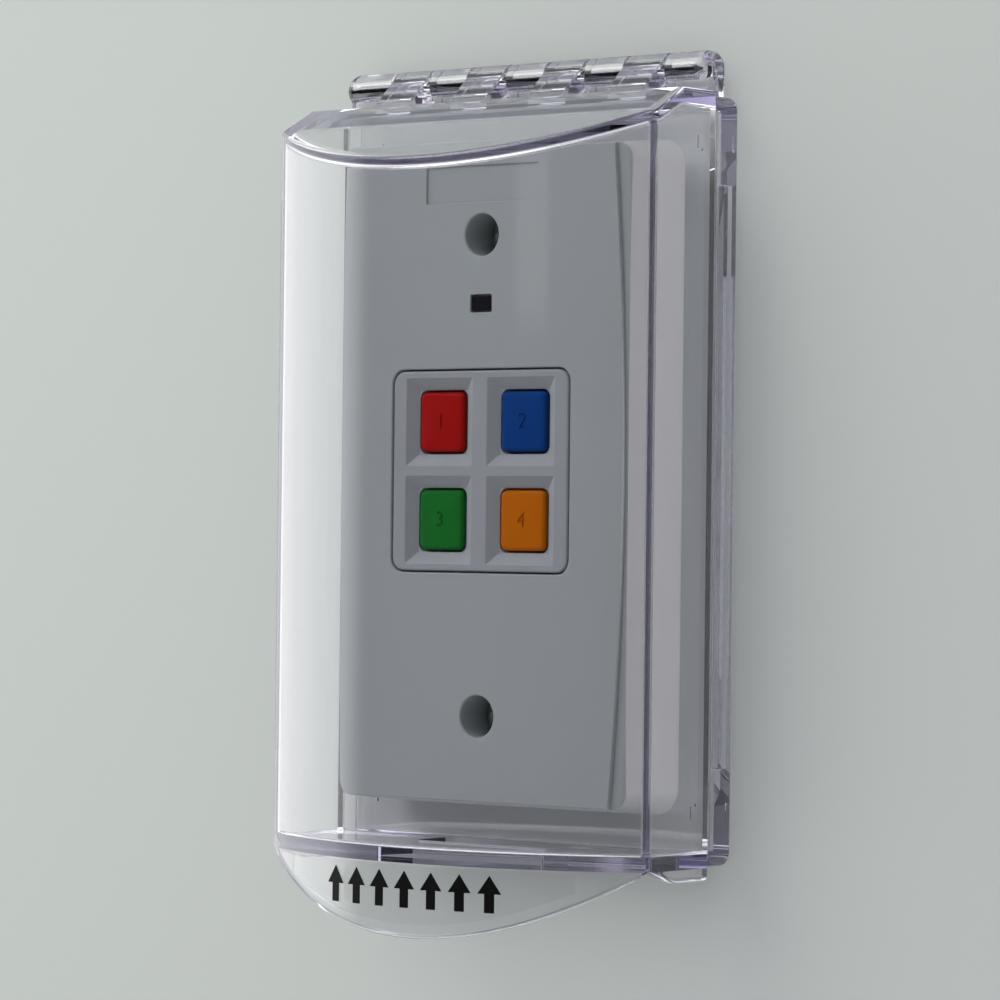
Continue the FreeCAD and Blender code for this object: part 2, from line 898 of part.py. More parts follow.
def all_parts():
    """Return every node's name with its shape."""
    parts = {
        "base_frame": make_base_frame(),
        "cover": make_cover(),
        "hinge_pin": make_hinge_pin(),
        "grip_label": make_grip_label(),
        "housing_front": make_housing_front(),
        "rear_cover": make_rear_cover(),
        "keypad_bezel": make_keypad_bezel(),
        "led_window": make_led_window(),
        "status_led": make_status_led(),
        "circuit_board": make_circuit_board(),
        "coin_cell": make_coin_cell(),
        "cell_tray": make_cell_tray(),
        "cell_clip": make_cell_clip(),
        "radio_board": make_radio_board(),
        "radio_can": make_radio_can(),
        "control_chip": make_control_chip(),
        "crystal": make_crystal(),
        "antenna": make_antenna(),
        "board_screws": make_board_screws(),
        "box_screws": make_box_screws(),
    }
    for number, x, z in button_places():
        parts[f"button_{number}"] = make_button(x, z)
        parts[f"switch_plunger_{number}"] = make_plunger(x, z)
        parts[f"switch_{number}"] = make_switch(x, z)
    return parts


os.makedirs("parts", exist_ok=True)
for name, shape in all_parts().items():
    solids = len(shape.Solids)
    print(f"{name:18s} solids {solids} valid {shape.isValid()} volume {shape.Volume / 1000:.3f} cm3")
    shape.exportStep(f"parts/{name}.step")
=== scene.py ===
import logging
import math
from collections.abc import Callable, Iterator, Sequence
from contextlib import contextmanager
from dataclasses import dataclass, field
from enum import Enum

import bmesh
import bpy
from mathutils import Matrix, Vector


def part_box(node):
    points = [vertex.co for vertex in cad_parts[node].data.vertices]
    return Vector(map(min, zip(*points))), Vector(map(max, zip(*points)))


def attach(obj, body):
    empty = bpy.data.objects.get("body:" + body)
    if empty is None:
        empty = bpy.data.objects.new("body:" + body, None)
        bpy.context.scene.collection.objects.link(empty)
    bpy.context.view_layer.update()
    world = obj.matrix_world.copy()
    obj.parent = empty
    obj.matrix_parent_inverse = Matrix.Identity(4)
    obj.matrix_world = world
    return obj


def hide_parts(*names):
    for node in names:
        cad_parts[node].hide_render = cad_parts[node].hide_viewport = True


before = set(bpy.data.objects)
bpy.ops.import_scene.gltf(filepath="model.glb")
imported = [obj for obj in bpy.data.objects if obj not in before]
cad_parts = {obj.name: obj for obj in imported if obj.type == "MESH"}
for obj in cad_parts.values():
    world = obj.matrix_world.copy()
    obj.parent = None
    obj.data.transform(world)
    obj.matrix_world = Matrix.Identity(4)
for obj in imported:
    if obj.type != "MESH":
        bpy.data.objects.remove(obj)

log = logging.getLogger("panic_station")

MM = 0.001
MERGE_DISTANCE = 2e-6
PAST = 1.0
SCREW_RISE = 41.67
SCREW_HOLE = 2.1

Colour = tuple[float, float, float]
Pair = tuple[float, float]
Placer = Callable[[float, float, float], Vector]
Piece = bpy.types.Object
Material = bpy.types.Material
Node = bpy.types.Node
Socket = bpy.types.NodeSocket
Outputs = bpy.types.NodeOutputs
Found = dict[str, Socket]
Tree = bpy.types.NodeTree


def at(x: float, depth: float, z: float) -> Vector:
    """Return the scene point for a sideways place, a distance from the wall and a height.

    Args:
        x: Millimetres to the right of the plate's middle.
        depth: Millimetres out from the wall.
        z: Millimetres above the middle of the box screws.

    Returns:
        The point in metres, in the frame's own axes.
    """
    return Vector((x * MM, -depth * MM, z * MM))


def from_side(depth: float, z: float, x: float) -> Vector:
    """Place a section that is drawn in depth and height and runs sideways."""
    return at(x, depth, z)


def from_front(x: float, z: float, depth: float) -> Vector:
    """Place an outline that is drawn in width and height and runs out from the wall."""
    return at(x, depth, z)


def about_height(rise: float) -> Placer:
    """Return a placer for shapes turned about an axis that runs out from the wall at a height."""
    return lambda u, v, depth: at(u, depth, rise + v)


def direction(azimuth: float, elevation: float) -> Vector:
    """Return the way to a place seen at so many radians from the front to the right, and upwards."""
    level = math.cos(elevation)
    return Vector((math.sin(azimuth) * level, -math.cos(azimuth) * level, math.sin(elevation)))


def chord_radius(half: float, rise: float) -> float:
    """Return an arc's radius from half its chord and its rise."""
    return (half ** 2 + rise ** 2) / (2 * rise)


@dataclass(frozen=True)
class Box:
    """A box in millimetres, such as that of a CAD node.

    Args:
        x_low, x_high: Its left and right ends.
        back, front: Its distances from the wall.
        z_low, z_high: Its lower and upper ends.
    """

    x_low: float
    x_high: float
    back: float
    front: float
    z_low: float
    z_high: float

    @classmethod
    def of(cls, node: str) -> "Box":
        """Read a node's box from the frame."""
        low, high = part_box(node)
        return cls(low.x / MM, high.x / MM, -high.y / MM, -low.y / MM, low.z / MM, high.z / MM)

    @classmethod
    def about(cls, x: float, z: float, half_x: float, half_z: float, back: float, front: float) -> "Box":
        """Return a box about a middle, with half of its width and height, between two depths."""
        return cls(x - half_x, x + half_x, back, front, z - half_z, z + half_z)

    def grown(self, gap: float, back: float, front: float) -> "Box":
        """Return the box with a gap all round it, between two depths."""
        return Box(self.x_low - gap, self.x_high + gap, back, front, self.z_low - gap, self.z_high + gap)

    @property
    def width(self) -> float:
        """Return the sideways size."""
        return self.x_high - self.x_low

    @property
    def height(self) -> float:
        """Return the upright size."""
        return self.z_high - self.z_low

    @property
    def x_mid(self) -> float:
        """Return the sideways middle."""
        return (self.x_low + self.x_high) / 2

    @property
    def z_mid(self) -> float:
        """Return the upright middle."""
        return (self.z_low + self.z_high) / 2


def arc_points(centre: Pair, radius: float, start: float, end: float, steps: int) -> list[Pair]:
    """Return points along an arc, both ends included.

    Args:
        centre: The arc's centre.
        radius: Its radius.
        start, end: Its first and last angles in degrees.
        steps: The number of chords.

    Returns:
        A list of steps + 1 points.
    """
    angles = [math.radians(start + (end - start) * step / steps) for step in range(steps + 1)]
    return [(centre[0] + radius * math.cos(angle), centre[1] + radius * math.sin(angle)) for angle in angles]


def rounded_rectangle(width: float, height: float, radius: float, steps: int = 8) -> list[Pair]:
    """Return a rounded rectangle about the origin, from the right-hand side upwards.

    Args:
        width, height: The full size.
        radius: The corner radius.
        steps: The chords in each corner.

    Returns:
        The outline's points.
    """
    outline = []
    half_x = width / 2 - radius
    half_y = height / 2 - radius
    for corner, (side, end) in enumerate(((1, 1), (-1, 1), (-1, -1), (1, -1))):
        outline += arc_points((side * half_x, end * half_y), radius, 90 * corner, 90 * corner + 90, steps)
    return outline


def quarter_turn(steps: int) -> list[Pair]:
    """Return (sine, cosine) pairs over a quarter turn, both ends included."""
    angles = [math.pi / 2 * step / steps for step in range(steps + 1)]
    return [(math.sin(angle), math.cos(angle)) for angle in angles]


def rounding(radius: float, steps: int = 4) -> list[Pair]:
    """Return (distance from the side, distance below the face) pairs around an edge, up to the face."""
    return [(radius * (1 - cosine), radius * (1 - sine)) for sine, cosine in quarter_turn(steps)]


def new_object(name: str, data: bpy.types.ID) -> Piece:
    """Return a new object in the scene that shows some data."""
    piece = bpy.data.objects.new(name, data)
    bpy.context.scene.collection.objects.link(piece)
    return piece


@contextmanager
def editing(mesh: bpy.types.Mesh) -> Iterator[bmesh.types.BMesh]:
    """Open a mesh for an edit, then turn its faces outwards and write it back.

    Args:
        mesh: The mesh to edit.

    Yields:
        The mesh in its editable form.
    """
    body = bmesh.new()
    body.from_mesh(mesh)
    yield body
    bmesh.ops.recalc_face_normals(body, faces=body.faces)
    body.to_mesh(mesh)
    body.free()


def mend(mesh: bpy.types.Mesh) -> None:
    """Merge a mesh's doubles and turn its faces outwards."""
    with editing(mesh) as body:
        bmesh.ops.remove_doubles(body, verts=body.verts, dist=MERGE_DISTANCE)


def loft(name: str, rings: Sequence[Sequence[Vector]], closed: bool = True,
         caps: Sequence[Sequence[int]] | None = None) -> Piece:
    """Return a body that joins equal rows of points one after the other.

    Args:
        name: The object's name.
        rings: The rows of points.
        closed: Whether the last point of each row joins its first one.
        caps: The point numbers of each further face; without it the first and last rows are closed.

    Returns:
        The closed object.
    """
    count = len(rings[0])
    last = (len(rings) - 1) * count
    faces = []
    for row in range(0, last, count):
        for here in range(count if closed else count - 1):
            after = (here + 1) % count
            faces.append((row + here, row + after, row + count + after, row + count + here))
    if caps is None:
        caps = (range(count), range(last, last + count))
    mesh = bpy.data.meshes.new(name)
    mesh.from_pydata([tuple(point) for ring in rings for point in ring], [], faces + [tuple(cap) for cap in caps])
    mend(mesh)
    return new_object(name, mesh)


def stack(name: str, x: float, z: float, levels: Sequence[tuple[float, float, float, float]],
          steps: int = 8) -> Piece:
    """Return a body through rounded rectangles that lie one in front of the other.

    Args:
        name: The object's name.
        x, z: The middle of every outline.
        levels: The depth, width, height and corner radius of each outline.
        steps: The chords in each corner.

    Returns:
        The closed object.
    """
    return loft(name, [[at(x + u, depth, z + v) for u, v in rounded_rectangle(width, height, corner, steps)]
                       for depth, width, height, corner in levels])


def rounded_slab(name: str, box: Box, corner: float, back_round: float = 0.0, front_round: float = 0.0) -> Piece:
    """Return an upright rounded plate that fills a box.

    Args:
        name: The object's name.
        box: The plate's place and size.
        corner: The corner radius of its outline.
        back_round: The rounding towards the wall.
        front_round: The rounding towards the viewer.

    Returns:
        The closed object.
    """
    levels = [(box.back + away, inset) for away, inset in rounding(back_round)]
    levels += [(box.front - away, inset) for inset, away in rounding(front_round)]
    return stack(name, box.x_mid, box.z_mid,
                 [(depth, box.width - 2 * inset, box.height - 2 * inset, corner - inset) for depth, inset in levels])


def turned_ring(place: Placer, radii: Sequence[float], along: float) -> list[Vector]:
    """Return a ring about an axis, with a radius for each of its equal steps."""
    angles = [2 * math.pi * step / len(radii) for step in range(len(radii))]
    return [place(radius * math.cos(angle), radius * math.sin(angle), along) for radius, angle in zip(radii, angles)]


def lathe(name: str, profile: Sequence[Pair], place: Placer, turns: int) -> Piece:
    """Return a turned piece.

    Args:
        name: The object's name.
        profile: (radius, distance along the axis) pairs, from one end to the other.
        place: Puts two cross-axis sizes and the distance along the axis into the scene.
        turns: The number of facets around.

    Returns:
        The closed object.
    """
    return loft(name, [turned_ring(place, [radius] * turns, along) for radius, along in profile])


def drill(radius: float, back: float, front: float, rise: float, turns: int) -> Piece:
    """Return the cutter of a round hole between two depths, at a height."""
    return lathe("hole", [(0.0, back), (radius, back), (radius, front), (0.0, front)], about_height(rise), turns)


def prism(name: str, outline: Sequence[Pair], low: float, high: float, place: Placer,
          low_round: float = 0.0, high_round: float = 0.0) -> Piece:
    """Return a prism with rounded ends from any outline.

    Args:
        name: The object's name.
        outline: The section's points, in order.
        low, high: Where the prism starts and ends.
        place: Puts a section's point and the distance along the prism into the scene.
        low_round, high_round: The rounding of its two ends.

    Returns:
        The closed object.
    """
    piece = loft(name, [[place(u, v, level) for u, v in outline] for level in (low, high)])
    with editing(piece.data) as body:
        for level, radius in ((low, low_round), (high, high_round)):
            if radius > 0:
                ends = {tuple(round(c, 9) for c in place(u, v, level)) for u, v in outline}
                rim = [edge for edge in body.edges
                       if all(tuple(round(c, 9) for c in vert.co) in ends for vert in edge.verts)]
                bmesh.ops.bevel(body, geom=rim, offset=radius * MM, segments=3, profile=0.5,
                                affect="EDGES", clamp_overlap=True)
    return piece


def evaluated_mesh(piece: Piece) -> bpy.types.Mesh:
    """Return a new mesh of a piece with its modifiers carried out."""
    bpy.context.view_layer.update()
    return bpy.data.meshes.new_from_object(piece.evaluated_get(bpy.context.evaluated_depsgraph_get()))


def settle(piece: Piece) -> Piece:
    """Turn a piece's modifiers into its own mesh and return the piece."""
    mesh = evaluated_mesh(piece)
    mesh.name = piece.name
    piece.modifiers.clear()
    piece.data = mesh
    return piece


def modify(piece: Piece, kind: str, **settings: object) -> Piece:
    """Carry out one modifier on a piece.

    Args:
        piece: The piece to work on.
        kind: The modifier's type name.
        **settings: Its options by name.

    Returns:
        The piece.
    """
    step = piece.modifiers.new(kind.lower(), kind)
    for name, value in settings.items():
        setattr(step, name, value)
    return settle(piece)


class Cut(Enum):
    """How two closed bodies are combined."""

    TAKE_AWAY = "DIFFERENCE"
    JOIN = "UNION"


def combine(piece: Piece, others: Sequence[Piece], cut: Cut) -> Piece:
    """Combine a piece with other bodies, which are used up.

    Args:
        piece: The body that stays.
        others: The bodies to take away or to join.
        cut: Which of the two is done.

    Returns:
        The piece with its new mesh.
    """
    for other in others:
        modify(piece, "BOOLEAN", operation=cut.value, solver="EXACT", object=other)
        bpy.data.objects.remove(other)
    return piece


def soften(piece: Piece, width: float, limit: float, segments: int = 2) -> Piece:
    """Bevel the edges of a piece that turn by more than a limit.

    Args:
        piece: The piece to work on.
        width: The bevel's width in millimetres.
        limit: The smallest angle in degrees that is bevelled.
        segments: The bevel's facets.

    Returns:
        The piece.
    """
    return modify(piece, "BEVEL", width=width * MM, segments=segments, limit_method="ANGLE",
                  angle_limit=math.radians(limit))


def shade(piece: Piece, limit: float = 32.0) -> Piece:
    """Shade a piece smooth up to an angle, with its large faces kept flat.

    Args:
        piece: The piece to shade.
        limit: Edges that turn by more than this many degrees stay sharp.

    Returns:
        The piece.
    """
    piece.data.polygons.foreach_set("use_smooth", [True] * len(piece.data.polygons))
    piece.data.set_sharp_from_angle(angle=math.radians(limit))
    return modify(piece, "WEIGHTED_NORMAL", keep_sharp=True, weight=50)


def dress(piece: Piece, *materials: Material) -> Piece:
    """Give a piece its materials."""
    piece.data.materials.clear()
    for material in materials:
        piece.data.materials.append(material)
    return piece


def hand_over(piece: Piece, body: str, slot: str, *nodes: str) -> None:
    """Let a finished piece ride on its body and stand for its nodes.

    Args:
        piece: The finished piece.
        body: The body it moves with.
        slot: The slot that its finish comes from; it is not used.
        *nodes: The CAD nodes that it replaces.
    """
    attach(piece, body)
    if nodes:
        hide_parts(*nodes)
    log.info("%s: %d faces on %s", piece.name, len(piece.data.polygons), body)


def add_sockets(tree: Tree, way: str, **kinds: str) -> None:
    """Add sockets to a node group.

    Args:
        tree: The group.
        way: INPUT or OUTPUT.
        **kinds: Each socket's kind by its name, with spaces written as underscores.
    """
    for name, kind in kinds.items():
        tree.interface.new_socket(name.replace("_", " "), in_out=way, socket_type="NodeSocket" + kind)


class NodeSketch:
    """A short way to write the nodes of a material, a group, the world or a geometry tree."""

    def __init__(self, tree: Tree) -> None:
        """Work on an emptied node tree."""
        self.tree = tree
        tree.nodes.clear()

    def feed(self, socket: Socket, value: object) -> None:
        """Join an input to another socket, or set its value.

        Args:
            socket: The input.
            value: A socket, or the value itself, with no alpha where it is a colour.
        """
        if isinstance(value, bpy.types.NodeSocket):
            self.tree.links.new(value, socket)
        else:
            socket.default_value = (*value, 1.0) if socket.type == "RGBA" else value

    def add(self, kind: str, *values: object, **named: object) -> Node:
        """Add a node.

        Args:
            kind: The node's type name.
            *values: What its first inputs get, in order.
            **named: Its own options, which have small letters only, and its inputs by name, with spaces
                written as underscores.

        Returns:
            The new node.
        """
        node = self.tree.nodes.new(kind)
        for name in filter(str.islower, named):
            setattr(node, name, named[name])
        for socket, value in zip(node.inputs, values):
            self.feed(socket, value)
        for name, value in named.items():
            if not name.islower():
                self.feed(node.inputs[name.replace("_", " ")], value)
        return node

    def use(self, group: Tree, **values: object) -> Outputs:
        """Place a shared group with its own values and return what it puts out."""
        return self.add("ShaderNodeGroup", node_tree=group, **values).outputs

    def own_place(self) -> Socket:
        """Return the object's own coordinates."""
        return self.add("ShaderNodeTexCoord").outputs["Object"]

    def math(self, operation: str, first: object, second: object = 0.0) -> Socket:
        """Return the result of a math node on two numbers or sockets."""
        return self.add("ShaderNodeMath", first, second, operation=operation).outputs[0]

    def product(self, first: object, *others: object) -> Socket:
        """Return the product of several numbers or sockets."""
        for other in others:
            first = self.math("MULTIPLY", first, other)
        return first

    def fade(self, value: Socket, start: float, end: float, kind: str = "SMOOTHSTEP") -> Socket:
        """Return a step from 0 at the start to 1 at the end."""
        return self.add("ShaderNodeMapRange", interpolation_type=kind, Value=value, From_Min=start,
                        From_Max=end).outputs["Result"]

    def noise(self, place: Socket, scale: object, detail: float, roughness: float = 0.5) -> Socket:
        """Return a noise between 0 and 1."""
        return self.add("ShaderNodeTexNoise", Vector=place, Scale=scale, Detail=detail,
                        Roughness=roughness).outputs["Fac"]

    def blend(self, share: Socket, first: object, second: object) -> Socket:
        """Return a mix of two colours."""
        node = self.add("ShaderNodeMix", share, data_type="RGBA")
        self.feed(node.inputs[6], first)
        self.feed(node.inputs[7], second)
        return node.outputs[2]

    def choose(self, share: Socket, first: Socket, second: Socket) -> Socket:
        """Return a mix of two shaders."""
        return self.add("ShaderNodeMixShader", share, first, second).outputs["Shader"]

    def bump(self, height: Socket, strength: float, distance: float) -> Socket:
        """Return the normal of a height, with its depth given in millimetres."""
        return self.add("ShaderNodeBump", Height=height, Strength=strength, Distance=distance * MM).outputs["Normal"]

    def principled(self, **values: object) -> Socket:
        """Return a Principled shader with some of its inputs set."""
        return self.add("ShaderNodeBsdfPrincipled", **values).outputs["BSDF"]


class SurfaceEffects:
    """The shader groups that the finishes share, each built once."""

    def __init__(self) -> None:
        """Build every group."""
        self.grain = self._group("moulded_grain", self._grain, Scale="Float", Roughness="Float", Spread="Float")
        self.drift = self._group("tone_drift", self._drift, Colour="Color", Amount="Float", Scale="Float")
        self.flow = self._group("polished_flow", self._flow, Wave_Scale="Float", Roughness="Float", Haze="Float")
        self.drawn = self._group("drawn_lines", self._drawn, Stretch="Vector", Roughness="Float")

    @staticmethod
    def _group(name: str, draw: Callable[..., Found], **inputs: str) -> Tree:
        """Return a new shader group.

        Args:
            name: The group's name.
            draw: Writes its nodes and returns what it puts out, by name.
            **inputs: The kind of each of its inputs by name.

        Returns:
            The group.
        """
        tree = bpy.data.node_groups.new(name, "ShaderNodeTree")
        sketch = NodeSketch(tree)
        add_sockets(tree, "INPUT", **inputs)
        found = draw(sketch, sketch.add("NodeGroupInput").outputs, sketch.own_place())
        add_sockets(tree, "OUTPUT", **{key: "Color" if key == "Colour" else "Float" for key in found})
        sketch.add("NodeGroupOutput", **found)
        return tree

    @staticmethod
    def _grain(sketch: NodeSketch, given: Outputs, place: Socket) -> Found:
        """Draw the fine spark-eroded texture of moulded plastic, as a height and a roughness."""
        fine = sketch.noise(place, given["Scale"], 3.0)
        coarse = sketch.noise(place, sketch.product(given["Scale"], 0.06), 2.0)
        spread = sketch.product(sketch.math("SUBTRACT", coarse, 0.5), given["Spread"])
        return {"Height": sketch.math("ADD", fine, sketch.product(coarse, 0.5)),
                "Roughness": sketch.math("ADD", given["Roughness"], spread)}

    @staticmethod
    def _drift(sketch: NodeSketch, given: Outputs, place: Socket) -> Found:
        """Draw the slow change of tone over a moulded part, as a colour."""
        centred = sketch.math("SUBTRACT", sketch.noise(place, given["Scale"], 4.0), 0.5)
        level = sketch.math("ADD", sketch.product(centred, given["Amount"]), 1.0)
        tone = sketch.add("ShaderNodeVectorMath", given["Colour"], operation="SCALE", Scale=level)
        return {"Colour": tone.outputs["Vector"]}

    @staticmethod
    def _flow(sketch: NodeSketch, given: Outputs, place: Socket) -> Found:
        """Draw the faint waves and wipe marks of polished clear plastic, as a height and a roughness."""
        stretched = sketch.add("ShaderNodeMapping", Vector=place, Scale=(1.0, 1.0, 0.2)).outputs["Vector"]
        streak = sketch.math("POWER", sketch.noise(stretched, 180.0, 3.0, 0.65), 3.0)
        haze = sketch.product(streak, given["Haze"])
        return {"Height": sketch.noise(place, given["Wave Scale"], 1.0),
                "Roughness": sketch.math("ADD", given["Roughness"], haze)}

    @staticmethod
    def _drawn(sketch: NodeSketch, given: Outputs, place: Socket) -> Found:
        """Draw the fine lines of drawn or turned metal, as a height and a roughness."""
        stretched = sketch.add("ShaderNodeVectorMath", place, given["Stretch"], operation="MULTIPLY")
        lines = sketch.noise(stretched.outputs["Vector"], 6000.0, 3.0)
        spread = sketch.product(sketch.math("SUBTRACT", lines, 0.5), 0.25)
        return {"Height": lines, "Roughness": sketch.math("ADD", given["Roughness"], spread)}


EFFECTS = SurfaceEffects()


@dataclass(frozen=True)
class Finish:
    """What all finishes share.

    Args:
        name: The material's name.
    """

    name: str

    def draw(self, sketch: NodeSketch) -> Found:
        """Write the finish's nodes and return what goes to the material's output, by name."""
        raise NotImplementedError

    def build(self) -> Material:
        """Return the material."""
        material = bpy.data.materials.new(self.name)
        material.use_nodes = True
        sketch = NodeSketch(material.node_tree)
        sketch.add("ShaderNodeOutputMaterial", **self.draw(sketch))
        return material


@dataclass(frozen=True)
class MouldedFinish(Finish):
    """Satin moulded plastic or ink, with a fine texture and a slow change of tone.

    Args:
        name: The material's name.
        colour: Its colour.
        roughness: Its middle roughness.
        grain_depth: The depth of its texture in millimetres.
        grain_scale: How fine the texture is.
        spread: How much its roughness changes.
        drift: How much its tone changes over the part.
        drift_scale: How fast the tone changes.
        specular: How strongly it mirrors the room.
        relief: How strongly the texture shows.
    """

    colour: Colour
    roughness: float = 0.45
    grain_depth: float = 0.02
    grain_scale: float = 2200.0
    spread: float = 0.12
    drift: float = 0.05
    drift_scale: float = 60.0
    specular: float = 0.5
    relief: float = 0.25

    def draw(self, sketch: NodeSketch) -> Found:
        """Write the finish's nodes."""
        grain = sketch.use(EFFECTS.grain, Scale=self.grain_scale, Roughness=self.roughness, Spread=self.spread)
        tone = sketch.use(EFFECTS.drift, Colour=self.colour, Amount=self.drift, Scale=self.drift_scale)
        normal = sketch.bump(grain["Height"], self.relief, self.grain_depth)
        return {"Surface": sketch.principled(Base_Color=tone["Colour"], Roughness=grain["Roughness"],
                                             Specular_IOR_Level=self.specular, Normal=normal)}


@dataclass(frozen=True)
class ClearFinish(Finish):
    """Clear polished polycarbonate that lets lamp light through to what it covers.

    Args:
        name: The material's name.
        tint: The colour of light that passes one face.
        shade: The share of lamp light that passes one face squarely.
        edge_shade, edge_power: The share that passes it at a grazing angle, and how late it sets in.
        deep_shade: The colour that each face gives to light caught between many faces.
        mirror_limit, path_limit: After how many mirrorings, or faces in all, light counts as caught.
        index: How strongly it bends light.
        roughness: The roughness of its polish.
        haze: How much wipe marks add to the roughness.
        wave_scale, wave_relief, wave_depth: How fine, how strong and how deep its faint waves are.
        depth_tint: The colour that long paths inside it take.
        depth_density: How strong that colour is, for each metre.
    """

    tint: Colour = (0.992, 0.992, 0.994)
    shade: Colour = (0.98, 0.98, 0.98)
    edge_shade: Colour = (0.50, 0.48, 0.56)
    edge_power: float = 4.0
    deep_shade: Colour = (0.86, 0.85, 0.89)
    mirror_limit: float = 3.5
    path_limit: float = 7.5
    index: float = 1.585
    roughness: float = 0.012
    haze: float = 0.02
    wave_scale: float = 25.0
    wave_relief: float = 0.15
    wave_depth: float = 0.05
    depth_tint: Colour = (0.40, 0.345, 0.63)
    depth_density: float = 22.0

    def draw(self, sketch: NodeSketch) -> Found:
        """Write the finish's nodes."""
        flow = sketch.use(EFFECTS.flow, Wave_Scale=self.wave_scale, Roughness=self.roughness, Haze=self.haze)
        normal = sketch.bump(flow["Height"], self.wave_relief, self.wave_depth)
        glass = sketch.principled(Base_Color=self.tint, Transmission_Weight=1.0, IOR=self.index,
                                  Roughness=flow["Roughness"], Normal=normal)
        path = sketch.add("ShaderNodeLightPath").outputs
        lamp_light = sketch.math("MAXIMUM", path["Is Shadow Ray"], path["Is Diffuse Ray"])
        grazing = sketch.math("POWER", sketch.add("ShaderNodeLayerWeight", Blend=0.5).outputs["Facing"],
                              self.edge_power)
        passed = sketch.blend(grazing, self.shade, self.edge_shade)
        through = sketch.add("ShaderNodeBsdfTransparent", Color=passed).outputs["BSDF"]
        caught = sketch.math("MAXIMUM", sketch.math("GREATER_THAN", path["Glossy Depth"], self.mirror_limit),
                             sketch.math("GREATER_THAN", path["Ray Depth"], self.path_limit))
        escape = sketch.add("ShaderNodeBsdfTransparent", Color=self.deep_shade).outputs["BSDF"]
        found = {"Surface": sketch.choose(lamp_light, sketch.choose(caught, glass, escape), through)}
        if self.depth_density > 0:
            found["Volume"] = sketch.add("ShaderNodeVolumeAbsorption", Color=self.depth_tint,
                                         Density=self.depth_density).outputs["Volume"]
        return found


@dataclass(frozen=True)
class MetalFinish(Finish):
    """Drawn, turned or plated metal with fine lines along one direction.

    Args:
        name: The material's name.
        colour: Its colour.
        roughness: Its middle roughness.
        stretch: How the lines run; a small number draws them out along that axis.
        relief, line_depth: How strongly the lines show, and their depth in millimetres.
        drift, drift_scale: How much and how fast its tone changes.
    """

    colour: Colour
    roughness: float = 0.22
    stretch: Colour = (0.02, 1.0, 1.0)
    relief: float = 0.2
    line_depth: float = 0.004
    drift: float = 0.12
    drift_scale: float = 300.0

    def draw(self, sketch: NodeSketch) -> Found:
        """Write the finish's nodes."""
        lines = sketch.use(EFFECTS.drawn, Stretch=self.stretch, Roughness=self.roughness)
        tone = sketch.use(EFFECTS.drift, Colour=self.colour, Amount=self.drift, Scale=self.drift_scale)
        normal = sketch.bump(lines["Height"], self.relief, self.line_depth)
        return {"Surface": sketch.principled(Base_Color=tone["Colour"], Metallic=1.0, Roughness=lines["Roughness"],
                                             Normal=normal)}


@dataclass(frozen=True)
class BoardFinish(Finish):
    """Solder mask over copper tracks.

    Args:
        name: The material's name.
        mask: The colour of the mask over bare board.
        track: The colour of the mask over copper.
        track_scale: How close together the tracks lie.
        gap: The share of the board between the tracks.
        roughness, spread, grain_scale: The mask's middle roughness, how much it changes, and how finely.
        relief, track_height: How strongly the tracks show, and their height in millimetres.
    """

    mask: Colour = (0.012, 0.11, 0.04)
    track: Colour = (0.03, 0.2, 0.08)
    track_scale: float = 260.0
    gap: float = 0.12
    roughness: float = 0.32
    spread: float = 0.1
    grain_scale: float = 900.0
    relief: float = 0.4
    track_height: float = 0.03

    def draw(self, sketch: NodeSketch) -> Found:
        """Write the finish's nodes."""
        cells = sketch.add("ShaderNodeTexVoronoi", distance="MANHATTAN", feature="DISTANCE_TO_EDGE",
                           Vector=sketch.own_place(), Scale=self.track_scale)
        edge = sketch.math("LESS_THAN", cells.outputs["Distance"], self.gap)
        grain = sketch.use(EFFECTS.grain, Scale=self.grain_scale, Roughness=self.roughness, Spread=self.spread)
        raised = sketch.math("ADD", edge, sketch.product(grain["Height"], 0.1))
        return {"Surface": sketch.principled(Base_Color=sketch.blend(edge, self.mask, self.track),
                                             Roughness=grain["Roughness"],
                                             Normal=sketch.bump(raised, self.relief, self.track_height))}


